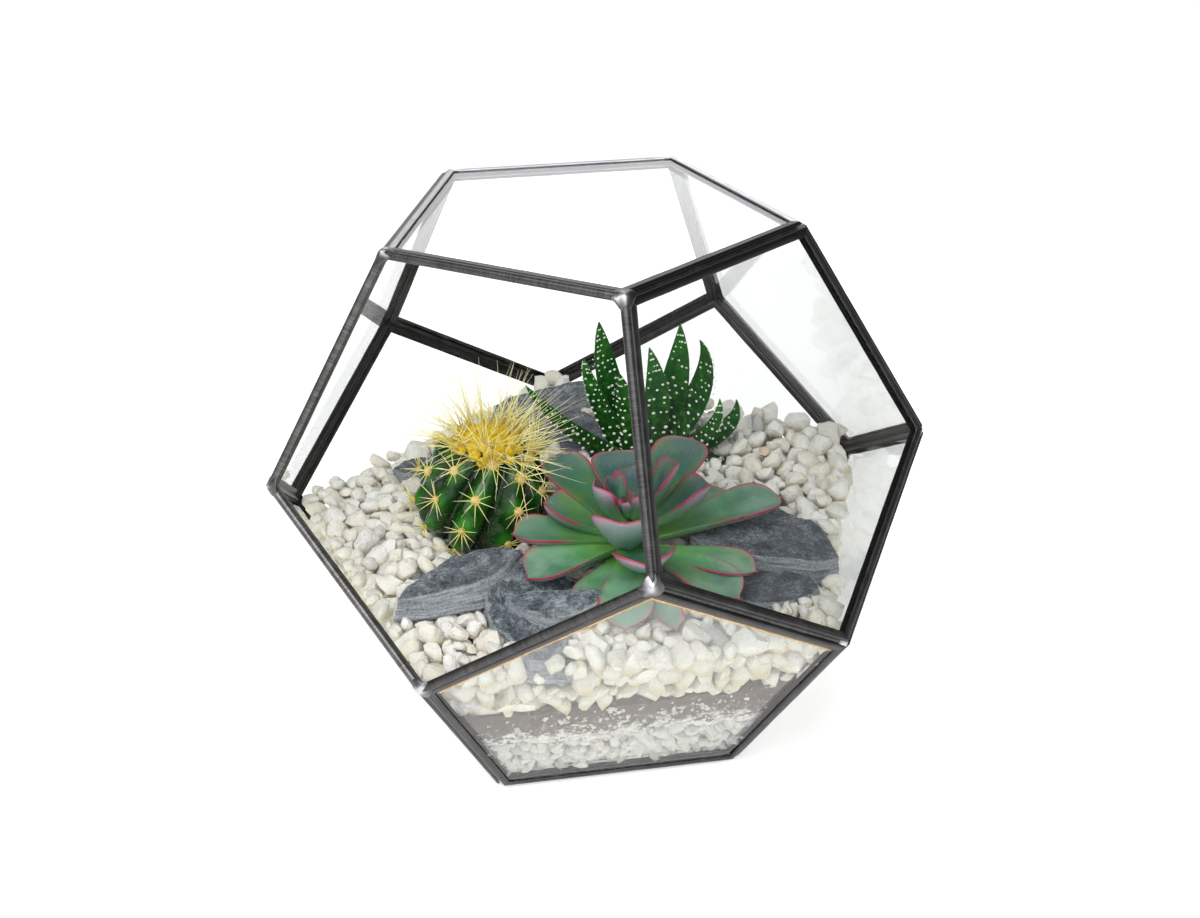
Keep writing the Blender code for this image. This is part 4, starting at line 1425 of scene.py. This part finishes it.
def echeveria_skin():
    """Waxy leaf: yellow-green to blue-green along it, bluer near the heart, crimson at its edge, with a
    painted highlight inside the edge and a painted sheen over the bloom.
    """
    finish = Finish("echeveria_skin", Specular_IOR_Level=0.28)
    place = finish.place()
    along = finish.own("along")
    rim = finish.own("rim")
    under = finish.own("under")
    inner = finish.own("inner")
    cloud = finish.noise(place, 130.0)
    fine = finish.noise(place, 1100.0)
    lengthwise = finish.node("ShaderNodeCombineXYZ", {}, {0: along * 5, 1: rim * 1100})
    veins = finish.noise(lengthwise, 1.0, 4.0, 0.6)
    streak = along + 0.30 * cloud + 0.34 * veins + 0.06 * fine - 0.17
    top = finish.ramp(
        streak,
        (0.20, (0.200, 0.420, 0.035)), (0.50, (0.080, 0.320, 0.060)),
        (0.80, (0.064, 0.240, 0.100)), (1.15, (0.125, 0.250, 0.170)),
    )
    blue = finish.ramp(
        streak,
        (0.20, (0.110, 0.270, 0.055)), (0.55, (0.036, 0.130, 0.080)),
        (0.88, (0.034, 0.090, 0.090)), (1.15, (0.085, 0.130, 0.138)),
    )
    # Painted highlight: a pale green band just inside the leaf's edge.
    painted_rim_light = rim.between(0.0004, 0.0016) * (1 - rim.between(0.0016, 0.0038))
    olive = finish.noise(place, 75.0, 3.0, 0.6).between(0.50, 0.64)
    dusky = finish.noise(place, 62.0, 2.0).between(0.52, 0.66)
    top = finish.coats(
        top,
        (inner, blue),
        (painted_rim_light * 0.20 * (1 - along.between(0.75, 0.95)), (0.22, 0.40, 0.10)),
        (olive * 0.45, (0.120, 0.235, 0.020)),
        (dusky * 0.35, (0.050, 0.120, 0.115)),
    )
    below = finish.ramp(
        along + 0.25 * cloud,
        (0.25, (0.17, 0.37, 0.12)), (0.60, (0.13, 0.30, 0.19)),
        (0.86, (0.15, 0.28, 0.21)), (1.12, (0.17, 0.25, 0.22)),
    )
    flush = (1 - (rim + 0.004 * veins).between(0.0030, 0.0068)) * along.between(0.45, 0.80)
    below = finish.mix(flush * 0.80, below, (0.37, 0.25, 0.33))
    # Waxy bloom with a painted sheen over it on the outer leaves: pale patches that stand in for reflected
    # light.
    sheen = finish.noise(place, 85.0, 3.0, 0.6).between(0.38, 0.62)
    wax_bloom_and_painted_sheen = (0.25 + sheen) * (1 - inner.between(0.0, 0.5)) * along.between(0.15, 0.60)
    blush = (1 - rim.between(0.0006, 0.0030)) * along.between(0.55, 0.95)
    reach = along.between(0.30, 0.62)
    edge = (1 - (rim - 0.0010 * cloud * reach).between(-0.0003, 0.0004)) * reach
    spots = finish.noise(place, 240.0, 1.0).between(0.775, 0.79)
    body = finish.coats(
        top,
        (under, below),
        (fine.between(0.45, 0.75) * 0.06 + wax_bloom_and_painted_sheen * 0.34, (0.32, 0.54, 0.40)),
        (blush * (0.30 - 0.18 * under), (0.52, 0.16, 0.22)),
        (edge * 0.90, (0.46, 0.032, 0.095)),
        (spots * 0.8, (0.09, 0.035, 0.02)),
    )
    finish.feed(Base_Color=body, Roughness=0.40 + 0.18 * cloud)
    finish.bump(fine + cloud, 0.0002, 0.2)
    return finish


waxy = echeveria_skin()
for k, (turn, reach, rise, root, climb, run, width, cup, node) in enumerate(ECHEVERIA_LEAVES):
    away = bearing(math.radians(turn))
    foot = ECHEVERIA_MIDDLE + away * LEAF_FOOT + Vector((0, 0, ECHEVERIA_LEVEL + root / 1000))
    tip = ECHEVERIA_MIDDLE + away * reach / 1000 + Vector((0, 0, ECHEVERIA_LEVEL + rise / 1000))
    bend = foot + bearing(math.radians(turn), math.radians(climb)) * (tip - foot).length * run
    at, flat = spine_of(foot, bend, tip)
    size = min(1.0, width / FULL_WIDTH)
    bm = leaf_mesh(
        SPOON, at, flat, width / 1000, above=0.0008 * size, below=0.0034 * size, cup=cup / 1000, keel=0.25,
    )
    plant_trees.append(BVHTree.FromBMesh(bm))
    inner = bm.verts.layers.float.new("inner")
    for vert in bm.verts:
        vert[inner] = min(1.0, max(0.0, (k - OUTER_LEAVES) / 10))
    leaf = show(f"echeveria_spoon_{k + 1:02d}", bm, waxy, subdivide=1)
    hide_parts(node)


# White gravel. Tumbled ivory marble, three to eleven millimetres, poured last, round the plants and
# the slates: heaped a little towards the back and hollowed under the two plants in front. Its stones
# are laid one by one over a plain core, first against the panes and then over the top.

BESIDE_RADII = (0.0018, 0.0023, 0.0027, 0.0031, 0.0036, 0.0043)
GRAVEL_RADII = (0.0015, 0.0018, 0.0021, 0.0024, 0.0026, 0.0030, 0.0035)
GRAVEL_SHELL = 0.0065
GRAVEL_DEPTH = 0.0085
GRAVEL_BED = 0.0105
GRAVEL_CORE_INSET = PANE_GAP + 0.0050
STANDING_DEPTH = 0.060
SLATE_GAP = 1.0
PLANT_GAP = 1.15
DOWN = Vector((0, 0, -1))
HEAP_BEARING = math.radians(62)
HEAP_LIFT = 0.0015
HEAP_RISE = 0.0075
HEAP_REACH = 0.090
# Hollows pressed round the plants' feet: middle, reach and depth.
HOLLOWS = ((ECHEVERIA_MIDDLE, 0.024, 0.0060), (cactus_middle, 0.027, 0.0035))


packed = bmesh.new()
packed.from_mesh(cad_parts["top_gravel"].data)
packed_gravel = BVHTree.FromBMesh(packed)
packed.free()


def gravel_height(spots):
    """Heights of the CAD gravel's top, or 0 beside it."""
    heights = []
    for x, y in spots:
        hit = packed_gravel.ray_cast(Vector((x, y, 0.2)), DOWN)[0]
        heights.append(hit.z if hit else 0.0)
    return np.array(heights)


def heaped(spots):
    """The gravel's surface: the CAD top, raised most at the back right and sunk in the hollows."""
    spots = np.asarray(spots)
    towards = np.clip(spots @ np.array(bearing(HEAP_BEARING))[:2] / HEAP_REACH, 0, 1)
    base = gravel_height(spots)
    surface = base + HEAP_LIFT + HEAP_RISE * towards ** 2
    for middle, reach, depth in HOLLOWS:
        away = np.linalg.norm(spots - np.array(middle)[:2], axis=1) / reach
        surface -= depth * np.exp(-away ** 4)
    return np.where(base > 0, surface, 0)


def in_the_way(centre, radius):
    """True for a stone that would lie in or on a slate or a leaf, or press into its side."""
    for tree, gap in standing_trees:
        if tree.find_nearest(centre, gap * radius)[0] or tree.ray_cast(centre, DOWN, STANDING_DEPTH)[0]:
            return True
    return False


standing_trees = [(tree, SLATE_GAP) for tree in slate_trees] + [(tree, PLANT_GAP) for tree in plant_trees]
# The fourth colour is the painted shade in the gaps.
ivory = marble("ivory_marble", (0.94, 0.93, 0.89), (0.90, 0.86, 0.74), (0.64, 0.54, 0.30),
               (0.80, 0.77, 0.61))
pour = Pour(seed=11, reach=0.105, blocked=in_the_way)
pour.lay(BESIDE_RADII, lambda spots: SOIL_TOP, heaped, GRAVEL_SHELL)
pour.lay(GRAVEL_RADII, lambda spots: heaped(spots) - GRAVEL_DEPTH, heaped, 1.0)
laid = pour.stones()
third = len(laid) // 3 + 1
gravel_parts = [
    chips(f"gravel_chips_{k + 1}", laid[k * third:(k + 1) * third], ivory, seed=12 + k)
    for k in range(3)
]
core = fill_core(SOIL_TOP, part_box("top_gravel")[1][2], GRAVEL_CORE_INSET)
for vert in core.verts:
    bed = gravel_height([vert.co.xy])[0] or SOIL_TOP + GRAVEL_BED
    lowered = max(0.0, vert.co.z - max(SOIL_TOP, bed - GRAVEL_BED))
    vert.co.xy *= 1 - lowered * math.tan(FACE_TILT) / max(vert.co.xy.length, FACE_INRADIUS)
    vert.co.z -= lowered
roughen(core, 0.002, 300)
gravel_parts.append(show("gravel_core", core, ivory))
for piece in gravel_parts:
    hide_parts("top_gravel")


# Studio. A plain white table, lit by a large soft lamp high over the opening, a weaker one on the
# right and one behind. The sky is dark but for a broad pale patch over the opening's side. The camera
# looks down at the vessel from a little to the right of the open face.

FLOOR_REACH = 4.0
BRIGHT_SIDE = bearing(math.radians(-80), math.radians(35))
SKY_PATCH = (0.45, 0.92)
SKY_DARK = 0.12
SKY_GLOW = 0.72
CAMERA_AZIMUTH = math.radians(27.05)
CAMERA_ELEVATION = math.radians(28.47)
CAMERA_ROLL = math.radians(-0.71)
CAMERA_LENS = 44.98
CENTRE_IN_VIEW = Vector((-0.0033, -0.0018, -0.5170))


def table():
    finish = Finish("white_table", Roughness=0.9, Emission_Strength=0.50, Emission_Color=(1, 1, 1, 1))
    weave = finish.noise(finish.place(), 30.0)
    finish.feed(Base_Color=finish.ramp(weave, (0.3, (0.90, 0.90, 0.90)), (0.7, (0.92, 0.92, 0.92))))
    return finish


def lamp(name, spot, size, power, colour):
    light = bpy.data.lights.new(name, "AREA")
    light.shape = "DISK"
    light.size = size
    light.energy = power
    light.color = colour
    made = bpy.data.objects.new(name, light)
    made.location = spot
    made.rotation_euler = (CENTRE - spot).to_track_quat("-Z", "Y").to_euler()
    bpy.context.scene.collection.objects.link(made)


floor = bmesh.new()
bmesh.ops.create_grid(floor, x_segments=8, y_segments=8, size=FLOOR_REACH)
floor_mesh = bpy.data.meshes.new("table")
floor.to_mesh(floor_mesh)
floor.free()
floor_mesh.materials.append(table().material)
floor_object = bpy.data.objects.new("table", floor_mesh)
bpy.context.scene.collection.objects.link(floor_object)

over_opening = CENTRE + bearing(math.radians(-95), math.radians(57)) * 1.75
behind = CENTRE + bearing(math.radians(117), math.radians(28.5)) * 1.5
lamp("key_lamp", over_opening, 1.3, 19.0, (1.0, 0.99, 0.97))
lamp("fill_lamp", Vector((1.3, -1.0, 1.2)), 1.3, 11.0, (0.98, 0.99, 1.0))
lamp("back_lamp", behind, 0.95, 5.2, (1.0, 1.0, 1.0))
sky = bpy.data.worlds.new("pale_sky")
sky.use_nodes = True
backdrop = sky.node_tree.nodes["Background"]
backdrop.inputs["Color"].default_value = (0.97, 0.98, 1.0, 1)
way = sky.node_tree.nodes.new("ShaderNodeTexCoord").outputs["Generated"]
nearness = sky.node_tree.nodes.new("ShaderNodeVectorMath")
nearness.operation = "DOT_PRODUCT"
nearness.inputs[1].default_value = BRIGHT_SIDE
connect(sky.node_tree, Wire(way), nearness.inputs[0])
glow = SKY_DARK + SKY_GLOW * Wire(nearness.outputs["Value"]).between(*SKY_PATCH)
connect(sky.node_tree, glow, backdrop.inputs["Strength"])
bpy.context.scene.world = sky
bpy.context.scene.view_settings.view_transform = "Standard"

view = (
    Matrix.Rotation(CAMERA_AZIMUTH, 4, "Z")
    @ Matrix.Rotation(math.pi / 2 - CAMERA_ELEVATION, 4, "X")
    @ Matrix.Rotation(CAMERA_ROLL, 4, "Z")
)
camera_data = bpy.data.cameras.new("camera")
camera_data.lens = CAMERA_LENS
camera_data.sensor_width = 36
camera_data.clip_start = 0.01
camera = bpy.data.objects.new("camera", camera_data)
camera.matrix_world = Matrix.Translation(CENTRE - view @ CENTRE_IN_VIEW) @ view
bpy.context.scene.collection.objects.link(camera)
bpy.context.scene.camera = camera
